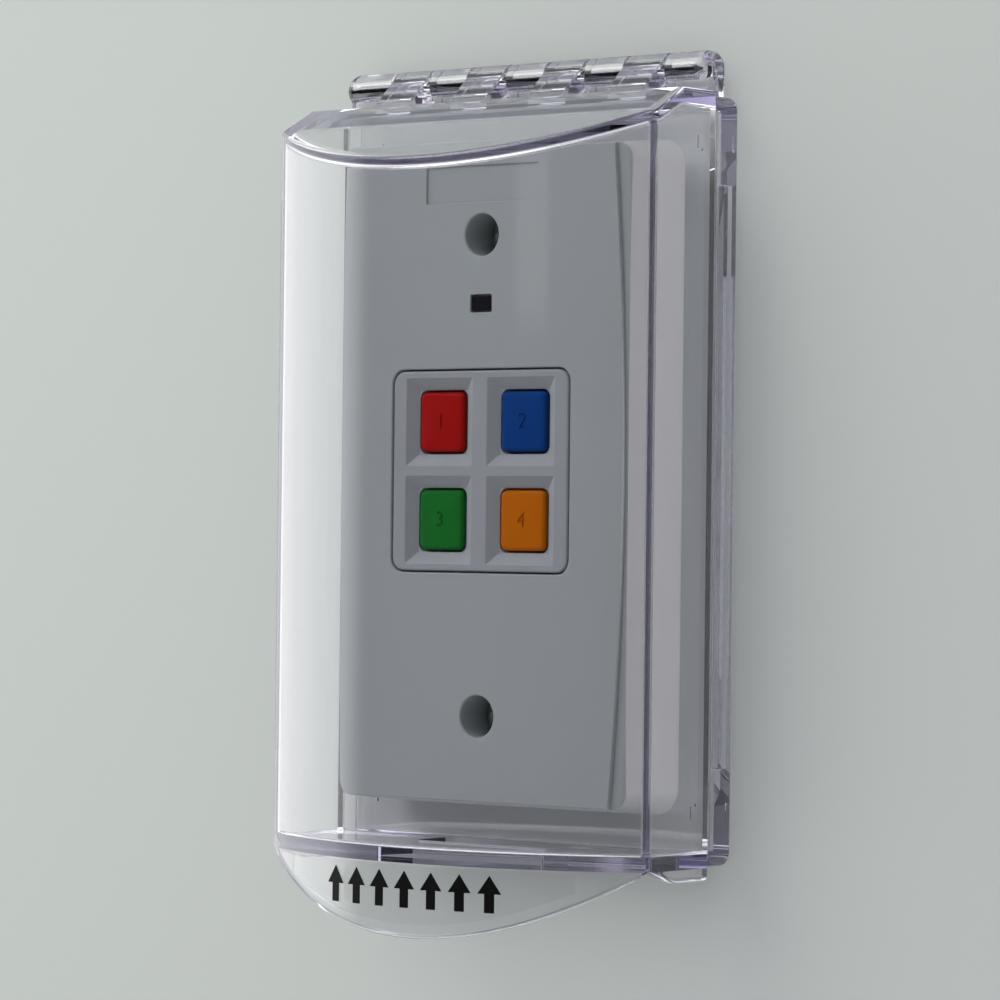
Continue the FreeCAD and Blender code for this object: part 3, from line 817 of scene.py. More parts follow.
@dataclass(frozen=True)
class BackdropFinish(Finish):
    """Pale paint of the staged wall or floor, which is only there for the eye and for reflections, with painted light
    and shade: lighter at the upper left, darker at the lower right.

    Args:
        name: The material's name.
        light: The paint's colour at the upper left, lightened there as painted light.
        dark: The paint's colour at the lower right, darkened there as painted shade.
        painted_falloff_span: The distance in metres over which the painted falloff changes.
        bright: The strength of a painted glow on the left part, standing in for a bright window; it only shows in
            reflections.
        bright_from, bright_to: Where the painted glow begins and where it is whole, in metres.
        roughness, specular: How matt it is, and how strongly it mirrors the room.
    """

    light: Colour
    dark: Colour
    painted_falloff_span: float = 0.26
    bright: float = 1.35
    bright_from: float = -0.075
    bright_to: float = -0.115
    roughness: float = 0.8
    specular: float = 0.1

    def draw(self, sketch: NodeSketch) -> Found:
        """Write the finish's nodes."""
        parts = sketch.add("ShaderNodeSeparateXYZ", sketch.own_place()).outputs
        # Painted falloff: the paint goes from lighter at the upper left to darker at the lower right, as painted
        # light and shade.
        slant = sketch.math("SUBTRACT", parts["X"], sketch.product(parts["Z"], 0.5))
        tone = sketch.blend(sketch.fade(slant, -self.painted_falloff_span / 2, self.painted_falloff_span / 2, "LINEAR"), self.light, self.dark)
        matt = sketch.principled(Base_Color=tone, Roughness=self.roughness, Specular_IOR_Level=self.specular)
        path = sketch.add("ShaderNodeLightPath").outputs
        # Painted glow: the left part of the backdrop glows in reflections, in place of a bright window.
        painted_glow_share = sketch.product(sketch.fade(parts["X"], self.bright_from, self.bright_to),
                               sketch.math("GREATER_THAN", path["Glossy Depth"], 0.5))
        painted_glow = sketch.add("ShaderNodeEmission", Strength=self.bright).outputs["Emission"]
        seen = sketch.math("MAXIMUM", path["Is Camera Ray"], path["Is Glossy Ray"])
        seen = sketch.math("MAXIMUM", seen, path["Is Transmission Ray"])
        front = sketch.math("SUBTRACT", 1.0, sketch.add("ShaderNodeNewGeometry").outputs["Backfacing"])
        clear = sketch.add("ShaderNodeBsdfTransparent").outputs["BSDF"]
        return {"Surface": sketch.choose(sketch.product(seen, front), clear,
                                         sketch.choose(painted_glow_share, matt, painted_glow))}


# The colour of each cap, and the darker copy painted into its sunk digit as the grooves' shade, in the order of the
# numbers on them.
CAPS: dict[str, tuple[Colour, Colour]] = {
    "red": ((0.330, 0.004, 0.003), (0.210, 0.003, 0.003)),
    "blue": ((0.002, 0.040, 0.195), (0.002, 0.024, 0.120)),
    "green": ((0.007, 0.138, 0.018), (0.005, 0.092, 0.012)),
    "orange": ((0.460, 0.115, 0.001), (0.330, 0.076, 0.001)),
}


class Finishes:
    """Every finish of the station, built once."""

    def __init__(self) -> None:
        """Build the materials."""
        self.clear = ClearFinish("clear_polycarbonate").build()
        self.base = ClearFinish("clear_base_plastic", shade=(0.988, 0.986, 0.986), depth_tint=(0.45, 0.40, 0.62),
                                depth_density=30.0).build()
        self.film = ClearFinish("clear_film", tint=(0.955, 0.96, 0.96), shade=(0.97, 0.97, 0.97),
                                edge_shade=(0.9, 0.9, 0.9), index=1.2, roughness=0.05, haze=0.05,
                                depth_density=0.0).build()
        # The shell and bezel are white; their colours are the grey they show in shade under the cover, so that shade
        # is painted into them.
        self.shell = MouldedFinish("satin_shell", (0.315, 0.343, 0.352), roughness=0.45, specular=0.3).build()
        self.bezel = MouldedFinish("satin_bezel", (0.292, 0.314, 0.332), roughness=0.43, specular=0.3).build()
        self.caps = [(MouldedFinish(f"{hue}_cap", face, roughness=0.42, drift=0.1, specular=0.05).build(),
                      # Each digit colour is a darker copy of its cap colour: painted shade for the sunk grooves.
                      MouldedFinish(f"{hue}_digit", sunk, roughness=0.5, specular=0.05).build())
                     for hue, (face, sunk) in CAPS.items()]
        # The pin's colour is far darker than bare steel: painted shade standing in for the dark room it mirrors.
        self.pin = MetalFinish("dark_pin", (0.10, 0.105, 0.105), roughness=0.16).build()
        self.screw = MetalFinish("zinc_screw", (0.62, 0.62, 0.61), roughness=0.28, stretch=(1.0, 1.0, 1.0)).build()
        self.cell = MetalFinish("nickel_cell", (0.68, 0.67, 0.65), roughness=0.25, stretch=(1.0, 1.0, 0.05)).build()
        self.tin = MetalFinish("tinned_metal", (0.7, 0.7, 0.68), roughness=0.3, stretch=(1.0, 1.0, 0.05)).build()
        self.window = MouldedFinish("smoked_window", (0.006, 0.006, 0.008), roughness=0.15, grain_depth=0.003).build()
        self.lamp = MouldedFinish("lamp_red", (0.4, 0.03, 0.02), roughness=0.15, grain_depth=0.003).build()
        self.black = MouldedFinish("black_plastic", (0.015, 0.015, 0.016), roughness=0.5).build()
        self.board = BoardFinish("board_mask").build()
        self.ink = MouldedFinish("black_ink", (0.003, 0.003, 0.0035), roughness=0.4, grain_depth=0.004,
                                 grain_scale=3000.0, spread=0.2, drift=0.5, drift_scale=700.0, specular=0.1,
                                 relief=0.1).build()
        # Each paint is a little lighter at the upper left than at the lower right: painted light and shade.
        self.wall = BackdropFinish("wall_paint", (0.600, 0.645, 0.612), (0.580, 0.612, 0.598)).build()
        self.floor = BackdropFinish("floor_paint", (0.55, 0.56, 0.55), (0.50, 0.51, 0.50)).build()


class RepeatTree:
    """A geometry tree that repeats one object along a line or an arc and gives it a material."""

    def __init__(self, name: str, **inputs: str) -> None:
        """Start a tree with the shared sockets and some inputs of its own, each with its kind."""
        self.tree = bpy.data.node_groups.new(name, "GeometryNodeTree")
        self.sketch = NodeSketch(self.tree)
        add_sockets(self.tree, "INPUT", Geometry="Geometry", Piece="Object", Finish="Material", Count="Int", **inputs)
        add_sockets(self.tree, "OUTPUT", Geometry="Geometry")
        self.given = self.sketch.add("NodeGroupInput").outputs

    def close(self, points: Socket, **turned: Socket) -> None:
        """Put the piece on the points, make it real and give it the finish.

        Args:
            points: Where the piece goes.
            **turned: Rotation, where the piece is turned there.
        """
        add = self.sketch.add
        source = add("GeometryNodeObjectInfo", transform_space="ORIGINAL", Object=self.given["Piece"])
        place = add("GeometryNodeInstanceOnPoints", Points=points, Instance=source.outputs["Geometry"], **turned)
        real = add("GeometryNodeRealizeInstances", Geometry=place.outputs["Instances"])
        finish = add("GeometryNodeSetMaterial", Geometry=real.outputs["Geometry"], Material=self.given["Finish"])
        add("NodeGroupOutput", Geometry=finish.outputs["Geometry"])

    def run(self, name: str, piece: Piece, material: Material, **values: object) -> Piece:
        """Return the tree's result as a plain mesh object.

        Args:
            name: The new object's name.
            piece: The object that is repeated; it is used up.
            material: The finish of the result.
            **values: The tree's other named inputs, with spaces written as underscores.

        Returns:
            The object, at the origin.
        """
        carrier = new_object(name, bpy.data.meshes.new(name))
        step = carrier.modifiers.new("repeat", "NODES")
        step.node_group = self.tree
        wanted = {"Piece": piece, "Finish": material, **{k.replace("_", " "): v for k, v in values.items()}}
        for item in self.tree.interface.items_tree:
            if item.in_out == "INPUT" and item.name in wanted:
                step[item.identifier] = wanted[item.name]
        settle(carrier)
        bpy.data.objects.remove(piece)
        return carrier


class LineTree(RepeatTree):
    """Repeats a piece along a straight line."""

    def __init__(self) -> None:
        """Build the tree."""
        super().__init__("repeat_on_line", Start="Vector", Step="Vector")
        given = self.given
        points = self.sketch.add("GeometryNodeMeshLine", Count=given["Count"], Start_Location=given["Start"],
                                 Offset=given["Step"])
        self.close(points.outputs["Mesh"])


class BowTree(RepeatTree):
    """Repeats a piece along a level arc, turned to face outwards."""

    def __init__(self) -> None:
        """Build the tree."""
        super().__init__("repeat_on_bow", Radius="Float", First_Turn="Float", Turn_Step="Float", Centre="Vector")
        sketch, given = self.sketch, self.given
        start = sketch.add("GeometryNodeMeshLine", Count=given["Count"])
        number = sketch.add("GeometryNodeInputIndex").outputs["Index"]
        turn = sketch.math("ADD", given["First Turn"], sketch.product(number, given["Turn Step"]))
        spot = sketch.add(
            "ShaderNodeCombineXYZ", X=sketch.product(sketch.math("SINE", turn), given["Radius"]),
            Y=sketch.product(sketch.math("COSINE", turn), sketch.product(given["Radius"], -1.0)))
        shifted = sketch.add("ShaderNodeVectorMath", spot.outputs["Vector"], given["Centre"], operation="ADD")
        placed = sketch.add("GeometryNodeSetPosition", Geometry=start.outputs["Mesh"],
                            Position=shifted.outputs["Vector"])
        facing = sketch.add("ShaderNodeCombineXYZ", Z=turn)
        self.close(placed.outputs["Geometry"], Rotation=facing.outputs["Vector"])


@dataclass(frozen=True)
class Station:
    """One point of the cover's plan.

    Args:
        x: Its sideways place.
        depth: Its distance from the wall.
        turn: The direction that the outline faces there, in degrees from the front to the right.
    """

    x: float
    depth: float
    turn: float

    @classmethod
    def on_arc(cls, x: float, depth: float, radius: float, turn: float) -> "Station":
        """Return the point of an arc about a centre that faces a direction."""
        angle = math.radians(turn)
        return cls(x + radius * math.sin(angle), depth + radius * math.cos(angle), turn)

    def moved(self, inset: float) -> Pair:
        """Return the place a distance inside the outline."""
        turn = math.radians(self.turn)
        return self.x - inset * math.sin(turn), self.depth - inset * math.cos(turn)


@dataclass(frozen=True)
class BowPlan:
    """The cover's outline seen from above: two straight sides and a bowed front.

    Args:
        half_width: Half of the full width.
        side_depth: Where the straight sides end.
        front_depth: The foremost point of the bow.
        corner_steps, bow_steps: The chords in each corner and in each half of the bow.
    """

    half_width: float
    side_depth: float
    front_depth: float
    corner_steps: int = 8
    bow_steps: int = 48

    @property
    def radius(self) -> float:
        """Return the bow's radius."""
        return chord_radius(self.half_width, self.front_depth - self.side_depth)

    @property
    def centre(self) -> float:
        """Return the depth of the bow's axis."""
        return self.front_depth - self.radius

    def stations(self, inset: float, corner: float, back: float, crease: float) -> list[Station]:
        """Return the points of the outline from the left back to the right back.

        Args:
            inset: How far the outline is drawn in.
            corner: The rounding of its front corners.
            back: Where the sides start.
            crease: A depth at which the sides get a point of their own.

        Returns:
            The points, each with its outward direction.
        """
        width = self.half_width - inset
        radius = self.radius - inset
        centre_x = width - corner
        centre_depth = self.centre + math.sqrt((radius - corner) ** 2 - centre_x ** 2)
        bow_turn = math.degrees(math.atan2(centre_x, centre_depth - self.centre))
        right = [Station(width, back, 90.0), Station(width, crease, 90.0)]
        for step in range(self.corner_steps + 1):
            turn = 90.0 + (bow_turn - 90.0) * step / self.corner_steps
            right.append(Station.on_arc(centre_x, centre_depth, corner, turn))
        for step in range(1, self.bow_steps + 1):
            right.append(Station.on_arc(0.0, self.centre, radius, bow_turn * (1 - step / self.bow_steps)))
        left = [Station(-spot.x, spot.depth, -spot.turn) for spot in right[:-1]]
        return left + right[::-1]


@dataclass
class Hinge:
    """The hinge line: barrels, bore and steel pin."""

    finishes: Finishes
    depth: float = 3.1
    rise: float = 69.7
    barrel: float = 3.0
    pitch: float = 8.73
    gap: float = 0.3
    pin_radius: float = 1.0
    pin_gap: float = 0.05
    end_inset: float = 1.8
    end_wall: float = 2.9
    bore_tip: Pair = (0.3, 1.0)
    pin_edge: float = 0.15
    pin_point: tuple[Pair, ...] = ((1.0, 2.6), (0.86, 1.7), (0.55, 0.7), (0.2, 0.05), (0.0, 0.0))
    base_top: float = 64.8
    turns: int = 48
    barrel_steps: int = 40
    box: Box = field(default_factory=lambda: Box.of("base_frame"))
    pin_box: Box = field(default_factory=lambda: Box.of("hinge_pin"))

    @property
    def end(self) -> float:
        """Return the right-hand end of the row of knuckles."""
        return self.box.x_high - self.end_inset

    def spans(self, fixed: bool) -> list[Pair]:
        """Return the left and right ends of the base's fixed knuckles, or of the cover's moving ones."""
        found = []
        for index in range(-4, 5):
            low = self.box.x_low if index == -4 else (index - 0.5) * self.pitch
            high = self.end if index == 4 else (index + 0.5) * self.pitch
            if fixed == (index % 2 == 0):
                found.append((low, high) if fixed else (low + self.gap, high - self.gap))
        return found

    def barrel_outline(self, start: float, end: float, radius: float) -> list[Pair]:
        """Return the part of a barrel's section between two angles from the front, upwards."""
        return arc_points((self.depth, self.rise), radius, start, end, self.barrel_steps)

    def along(self, u: float, v: float, x: float) -> Vector:
        """Place a turned shape about the hinge line."""
        return at(x, self.depth + u, self.rise + v)

    def bore(self) -> Piece:
        """Return the cutter of the pin's bore, closed at the right."""
        radius = self.pin_radius + self.pin_gap
        start, end = self.box.x_low - PAST, self.end - self.end_wall
        tip, taper = self.bore_tip
        return lathe("bore", [(0.0, start), (radius, start), (radius, end - taper), (tip, end), (0.0, end)],
                     self.along, self.turns)

    def build_pin(self) -> None:
        """Build the steel pin with its pointed end."""
        low, radius, edge = self.pin_box.x_low, self.pin_radius, self.pin_edge
        profile = [(0.0, low), (radius - edge, low), (radius, low + edge)]
        profile += [(radius * share, self.pin_box.x_high - away) for share, away in self.pin_point]
        pin = lathe("steel_pin", profile, self.along, self.turns)
        hand_over(dress(shade(pin, 40.0), self.finishes.pin), "station", "pin_steel", "hinge_pin")


@dataclass
class ClearCover:
    """The clear bow-front cover with its lifting tab, moving knuckles and printed film."""

    finishes: Finishes
    hinge: Hinge
    wall: float = 2.4
    side_depth: float = 22.8
    back: float = 6.5
    top: float = 65.3
    slope_start: float = 15.0
    slope_front_top: float = 54.0
    corner: float = 1.2
    inner_corner: float = 0.6
    edge_round: float = 0.6
    inner_round: float = 0.8
    skirt: float = 2.1
    skirt_start: float = 15.0
    skirt_end: float = 21.5
    tab_round: float = 0.95
    base_low: float = -66.2
    notch_width: float = 30.6
    notch_reach: float = 8.3
    notch_corner: float = 1.5
    notch_steps: int = 6
    leaf_reach: float = 12.0
    leaf_step: float = 0.03
    leaf_clear: float = 0.3
    lug_from: float = 40.0
    lug_to: float = 260.0
    lug_round: float = 0.3
    film_round: float = 0.08
    film_gap: float = 0.005
    film_steps: int = 64
    arrow_width: float = 4.5
    arrow_height: float = 6.3
    arrow_shaft: float = 1.9
    arrow_head: float = 3.1
    arrow_pitch: float = 5.75
    arrow_rise: float = -70.5
    arrow_count: int = 7
    ink_depth: float = 0.03
    box: Box = field(default_factory=lambda: Box.of("cover"))
    label: Box = field(default_factory=lambda: Box.of("grip_label"))

    def __post_init__(self) -> None:
        """Work out the plan from the node's box."""
        self.plan = BowPlan(self.box.x_high, self.side_depth, self.box.front)
        self.fall = (self.top - self.slope_front_top) / (self.box.front - self.slope_start)

    def tab_low(self, x: float) -> float:
        """Return the height of the tab's lower edge at a sideways place."""
        radius = chord_radius(self.box.x_high, self.base_low - self.box.z_low)
        return min(self.base_low, self.box.z_low + radius - math.sqrt(max(radius ** 2 - x ** 2, 0.0)))

    def hang_at(self, depth: float) -> float:
        """Return how far the sides hang below the bottom wall at a depth."""
        share = (self.skirt_end - depth) / (self.skirt_end - self.skirt_start)
        return self.skirt * min(max(share, 0.0), 1.0)

    def body(self, name: str, inset: float, corner: float, back: float, edge_round: float,
             with_tab: bool) -> Piece:
        """Return the solid form of the cover, or of the space inside it.

        Args:
            name: The object's name.
            inset: How far the form is drawn in.
            corner: The rounding of its upright front corners.
            back: Where its sides start.
            edge_round: The rounding of its top and bottom edges.
            with_tab: Whether the tab hangs down from the bow.

        Returns:
            The closed object.
        """
        slant = math.hypot(1.0, self.fall)
        crease = self.slope_start - inset * (slant - 1) / self.fall
        low = self.base_low + inset

        def column(spot: Station) -> list[Vector]:
            """Return the points of one station, from the top face down to the bottom face."""
            rows = []
            for side, fall in reversed(rounding(edge_round)):
                x, depth = spot.moved(side)
                top = self.top - inset - self.fall * max(depth - crease, 0.0)
                rows.append(at(x, depth, top - fall))
            edge = min(self.tab_low(spot.x), low - self.hang_at(spot.depth)) if with_tab else low
            hang = low - edge
            for side, rise in rounding(edge_round + (self.tab_round - edge_round) * min(hang / 2, 1.0)):
                rows.append(at(*spot.moved(side), edge + rise))
            if with_tab:
                for rise, side in rounding(min(self.tab_round, hang / 2)):
                    rows.append(at(*spot.moved(self.wall - side), edge + rise))
                rows.append(at(*spot.moved(self.wall), low))
            return rows

        columns = [column(spot) for spot in self.plan.stations(inset, corner, back, crease)]
        count = len(columns[0])
        total = count * len(columns)
        tops = list(range(0, total, count))
        back_face = [*range(count), *range(total - 1, total - count - 1, -1)]
        return loft(name, columns, closed=False,
                    caps=(tops[:2] + tops[-2:], tops[1:-1], range(count - 1, total, count), back_face))

    def notch(self) -> Piece:
        """Return the cutter of the notch in the bottom wall's back edge."""
        half = self.notch_width / 2
        mid = half - self.notch_corner
        front = self.back + self.notch_reach - self.notch_corner
        outline = [(-half, self.back - PAST), (half, self.back - PAST)]
        outline += arc_points((mid, front), self.notch_corner, 0, 90, self.notch_steps)
        outline += arc_points((-mid, front), self.notch_corner, 90, 180, self.notch_steps)
        return prism("notch", outline, self.base_low - PAST, self.base_low + self.wall + PAST, at)

    def lugs(self) -> list[Piece]:
        """Return the moving knuckles, each with the leaf that reaches over to the top face."""
        inside = self.top - self.wall / 2
        start = self.back + self.leaf_step
        section = self.hinge.barrel_outline(self.lug_from, self.lug_to, self.hinge.barrel)
        section += [(start, self.hinge.base_top + self.leaf_clear), (start, inside), (self.leaf_reach, inside),
                    (self.leaf_reach, self.top)]
        return [prism("lug", section, low, high, from_side, self.lug_round, self.lug_round)
                for low, high in self.hinge.spans(False)]

    def build(self) -> None:
        """Build, dress and hand over the cover."""
        cover = self.body("clear_cover", 0.0, self.corner, self.back, self.edge_round, True)
        space = self.body("space", self.wall, self.inner_corner, self.back - PAST, self.inner_round, False)
        combine(cover, [space, self.notch()], Cut.TAKE_AWAY)
        combine(cover, self.lugs(), Cut.JOIN)
        combine(cover, [self.hinge.bore()], Cut.TAKE_AWAY)
        hand_over(dress(shade(cover), self.finishes.clear), "lid", "clear_cover", "cover")

    def build_film(self) -> None:
        """Build the thin clear film on the tab, and print the row of lifting arrows on it."""
        plan = self.plan
        margin = self.label.z_low - self.box.z_low
        inner = plan.radius + self.film_gap
        outer = plan.radius + (self.label.front - self.box.front)
        half_turn = math.asin(self.label.x_high / outer)
        high = self.label.z_high
        rings = []
        for step in range(self.film_steps + 1):
            turn = half_turn * (step / (self.film_steps / 2) - 1)
            low = self.tab_low(plan.radius * math.sin(turn)) + margin
            rings.append([at(radius * math.sin(turn), plan.centre + radius * math.cos(turn), z)
                          for radius, z in ((inner, low), (inner, high), (outer, high), (outer, low))])
        film = soften(loft("tab_film", rings), self.film_round, 50.0)
        hand_over(dress(shade(film), self.finishes.film), "lid", "label_film", "grip_label")
        self.build_arrows(outer)

    def build_arrows(self, radius: float) -> None:
        """Print the row of lifting arrows on the film.

        Args:
            radius: The radius of the film's outer face.
        """
        half, side, tip = self.arrow_shaft / 2, self.arrow_width / 2, self.arrow_height / 2
        neck = tip - self.arrow_head
        outline = [(-half, -tip), (half, -tip), (half, neck), (side, neck), (0.0, tip), (-side, neck), (-half, neck)]
        arrow = prism("arrow", outline, -self.ink_depth, self.ink_depth, from_front)
        turn = self.arrow_pitch / radius
        print_row = BowTree().run("lifting_arrows", arrow, self.finishes.ink, Count=self.arrow_count,
                                  Radius=radius * MM, First_Turn=-turn * (self.arrow_count - 1) / 2,
                                  Turn_Step=turn, Centre=tuple(at(0.0, self.plan.centre, self.arrow_rise)))
        hand_over(print_row, "lid", "label_film")


@dataclass
class ClearBase:
    """The clear base on the wall, with its rim, side grooves, guide marks and fixed knuckles."""

    finishes: Finishes
    hinge: Hinge
    low: float = -66.2
    floor: float = 3.0
    rim_wall: float = 2.6
    corner: float = 2.5
    back_round: float = 0.4
    front_round: float = 0.5
    inner_corner: float = 0.6
    window_width: float = 50.0
    window_height: float = 70.0
    groove_half: float = 49.5
    groove_corner: float = 0.3
    groove_round: float = 0.15
    groove_depth: float = 0.9
    groove_back: float = 1.5
    groove_front: float = 5.2
    guide_x: float = 34.1
    guide_rise: float = 55.6
    guide_length: float = 2.8
    guide_foot: float = 1.4
    guide_line: float = 0.5
    guide_height: float = 0.4
    guide_round: float = 0.18
    web_overlap: float = 1.0
    web_from: float = -53.0
    end_round: float = 2.2
    side_round: float = 0.3
    hole_turns: int = 40
    end_steps: int = 8
    box: Box = field(default_factory=lambda: Box.of("base_frame"))

    def __post_init__(self) -> None:
        """Work out the plate's box, which leaves out the knuckles."""
        self.plate = Box(self.box.x_low, self.box.x_high, self.box.back, self.box.front, self.low,
                         self.hinge.base_top)

    def cutters(self) -> list[Piece]:
        """Return what is taken out of the plate: the hollow, the window, the grooves and the holes."""
        past_floor = self.floor + PAST
        hollow = self.plate.grown(-self.rim_wall, self.floor, self.box.front + PAST)
        window = Box.about(0.0, 0.0, self.window_width / 2, self.window_height / 2, -PAST, past_floor)
        found = [rounded_slab("hollow", hollow, self.inner_corner, self.front_round),
                 rounded_slab("window", window, self.inner_corner)]
        for edge in (self.box.x_low, self.box.x_high):
            groove = Box.about(edge, 0.0, self.groove_depth, self.groove_half, self.groove_back, self.groove_front)
            found.append(soften(rounded_slab("groove", groove, self.groove_corner), self.groove_round, 60.0))
        found += [drill(SCREW_HOLE, -PAST, past_floor, rise, self.hole_turns) for rise in (-SCREW_RISE, SCREW_RISE)]
        return found

    def guide_marks(self) -> list[Piece]:
        """Return the four small raised L marks near the corners of the plate."""
        marks = []
        line, foot, length = self.guide_line, self.guide_foot, self.guide_length
        shape = [(0.0, 0.0), (foot, 0.0), (foot, line), (line, line), (line, length), (0.0, length)]
        for side in (-1, 1):
            for end in (-1, 1):
                outline = [(side * (self.guide_x + x), end * (self.guide_rise + z)) for x, z in shape]
                marks.append(prism("mark", outline, self.floor / 2, self.floor + self.guide_height, from_front,
                                   0.0, self.guide_round))
        return marks

    def knuckle(self, low: float, high: float) -> Piece:
        """Return one fixed knuckle between its two ends, with its web down to the plate.

        Args:
            low: Its left end, well rounded where it is the row's.
            high: Its right end, well rounded where it is the row's.

        Returns:
            The closed object.
        """
        hinge = self.hinge
        inside = hinge.base_top - self.web_overlap
        low_round = self.end_round if low == self.box.x_low else self.side_round
        high_round = self.end_round if high == hinge.end else self.side_round
        levels = [(low + away, inset) for away, inset in rounding(low_round, self.end_steps)]
        levels += [(high - away, inset) for away, inset in reversed(rounding(high_round, self.end_steps))]
        rings = []
        for x, inset in levels:
            radius = hinge.barrel - inset
            section = hinge.barrel_outline(self.web_from, 180.0, radius)
            section += [(hinge.depth - radius, inside), (self.floor, inside)]
            rings.append([at(x, depth, z) for depth, z in section])
        return loft("knuckle", rings)

    def build(self) -> None:
        """Build, dress and hand over the base."""
        base = rounded_slab("clear_base", self.plate, self.corner, self.back_round, self.front_round)
        combine(base, self.cutters(), Cut.TAKE_AWAY)
        knuckles = [self.knuckle(low, high) for low, high in self.hinge.spans(True)]
        combine(base, knuckles + self.guide_marks(), Cut.JOIN)
        combine(base, [self.hinge.bore()], Cut.TAKE_AWAY)
        hand_over(dress(shade(base), self.finishes.base), "station", "clear_cover", "base_frame")


@dataclass
class WallPlate:
    """The moulded front shell with its bowed creases, screw wells, blank recess and lamp window."""

    finishes: Finishes
    corner: float = 4.0
    lean: float = 1.3
    wall: float = 2.0
    inner_corner: float = 2.8
    crease_mid: float = 31.0
    crease_end: float = 28.5
    crease_overrun: float = 4.0
    crease_steps: int = 60
    shoulder: float = 3.0
    shoulder_drop: float = 4.0
    shoulder_reach: float = 30.0
    step: float = 0.7
    step_run: float = 0.2
    step_reach: float = 8.0
    step_round: float = 0.2
    step_angle: float = 50.0
    edge_round: float = 0.7
    edge_angle: float = 12.0
    well_turns: int = 72
    well_bore: float = 7.3
    well_wall: float = 1.5
    well_depth: float = 8.0
    well_lip: float = 0.35
    recess_width: float = 25.0
    recess_height: float = 6.6
    recess_depth: float = 0.3
    recess_rise: float = 50.5
    recess_corner: float = 0.5
    recess_round: float = 0.2
    ledge: float = 1.5
    ledge_thickness: float = 1.2
    ledge_corner: float = 0.5
    bezel_corner: float = 2.55
    bezel_flare: float = 0.3
    window_ledge: float = 0.6
    window_ledge_corner: float = 0.2
    window_corner: float = 0.3
    window_flare: float = 0.15
    lens_corner: float = 0.25
    lens_round: float = 0.12
    seat_gap: float = 0.2
    tower_corner: float = 0.4
    tower_lift: float = 0.02
    hollow_lift: float = 0.02
    box: Box = field(default_factory=lambda: Box.of("housing_front"))
    bezel: Box = field(default_factory=lambda: Box.of("keypad_bezel"))
    window: Box = field(default_factory=lambda: Box.of("led_window"))

    def form(self, name: str, wall: float, corner: float, front: float) -> Piece:
        """Return the tapered form of the shell, or of its hollow.

        Args:
            name: The object's name.
            wall: How far it is drawn in.
            corner: The corner radius at its back.
            front: Where it ends.

        Returns:
            The closed object.
        """
        ends = ((self.box.back, 0.0), (front, self.lean))
        return stack(name, 0.0, 0.0, [(depth, self.box.width - 2 * (wall + lean), self.box.height - 2 * (wall + lean),
                                       corner - lean) for depth, lean in ends], 12)

    def crease_cutter(self, side: int, section: Sequence[Pair]) -> Piece:
        """Return the cutter that follows one bowed crease.

        Args:
            side: -1 for the left crease, 1 for the right one.
            section: The distance beyond the crease and above the front face of each point.

        Returns:
            The closed object.
        """
        half = self.box.height / 2
        radius = chord_radius(half, self.crease_mid - self.crease_end)
        rings = []
        for step in range(self.crease_steps + 1):
            z = (half + self.crease_overrun) * (step / (self.crease_steps / 2) - 1)
            x = self.crease_mid - radius + math.sqrt(radius ** 2 - z ** 2)
            rings.append([at(side * (x + across), self.box.front + depth, z) for across, depth in section])
        return loft("crease", rings)

    def pocket(self, box: Box, gap: float, back: float, corner: float, flare: float) -> Piece:
        """Return the cutter of a pocket around a piece.

        Args:
            box: The piece that goes in.
            gap: The clearance around it.
            back: The pocket's bottom.
            corner: The corner radius.
            flare: The rounding of the pocket's mouth.

        Returns:
            The closed object.
        """
        front = self.box.front
        size = box.grown(gap, back, front)
        levels = [(back, 0.0)] + [(front - away, grow) for grow, away in rounding(flare)] + [(front + PAST, flare)]
        return stack("pocket", size.x_mid, size.z_mid, [(depth, size.width + 2 * grow, size.height + 2 * grow,
                                                         corner + grow) for depth, grow in levels])

    def cutters(self) -> list[Piece]:
        """Return what is cut into the front: wells, recess, lamp window and bezel pocket."""
        front = self.box.front
        radius = self.well_bore / 2
        seat = front - self.well_depth
        lip = self.well_lip
        profile = [(0.0, seat), (radius, seat)]
        profile += [(radius + grow, front - away) for grow, away in rounding(lip)]
        profile += [(radius + lip, front + PAST), (0.0, front + PAST)]
        found = []
        for rise in (-SCREW_RISE, SCREW_RISE):
            found += [lathe("well", profile, about_height(rise), self.well_turns),
                      drill(SCREW_HOLE, 0.0, front, rise, self.well_turns)]
        recess = Box.about(0.0, self.recess_rise, self.recess_width / 2, self.recess_height / 2,
                           front - self.recess_depth, front + PAST)
        return found + [
            rounded_slab("recess", recess, self.recess_corner, self.recess_round),
            self.pocket(self.window, self.seat_gap, self.window.back, self.window_corner, self.window_flare),
            self.pocket(self.window, -self.window_ledge, self.box.back, self.window_ledge_corner, 0.0),
            self.pocket(self.bezel, self.seat_gap, self.bezel.back, self.bezel_corner, self.bezel_flare),
            self.pocket(self.bezel, -self.ledge, self.box.back - PAST, self.ledge_corner, 0.0),
        ]

    def towers(self) -> list[Piece]:
        """Return the screw towers and the ledge frame inside the shell."""
        half = self.well_bore / 2 + self.well_wall
        inside = self.box.front - self.wall / 2
        boxes = [Box.about(0.0, rise, half, half, self.box.back + self.tower_lift, inside)
                 for rise in (-SCREW_RISE, SCREW_RISE)]
        boxes.append(self.bezel.grown(self.ledge + self.seat_gap, self.bezel.back - self.ledge_thickness, inside))
        return [rounded_slab("tower", box, self.tower_corner) for box in boxes]

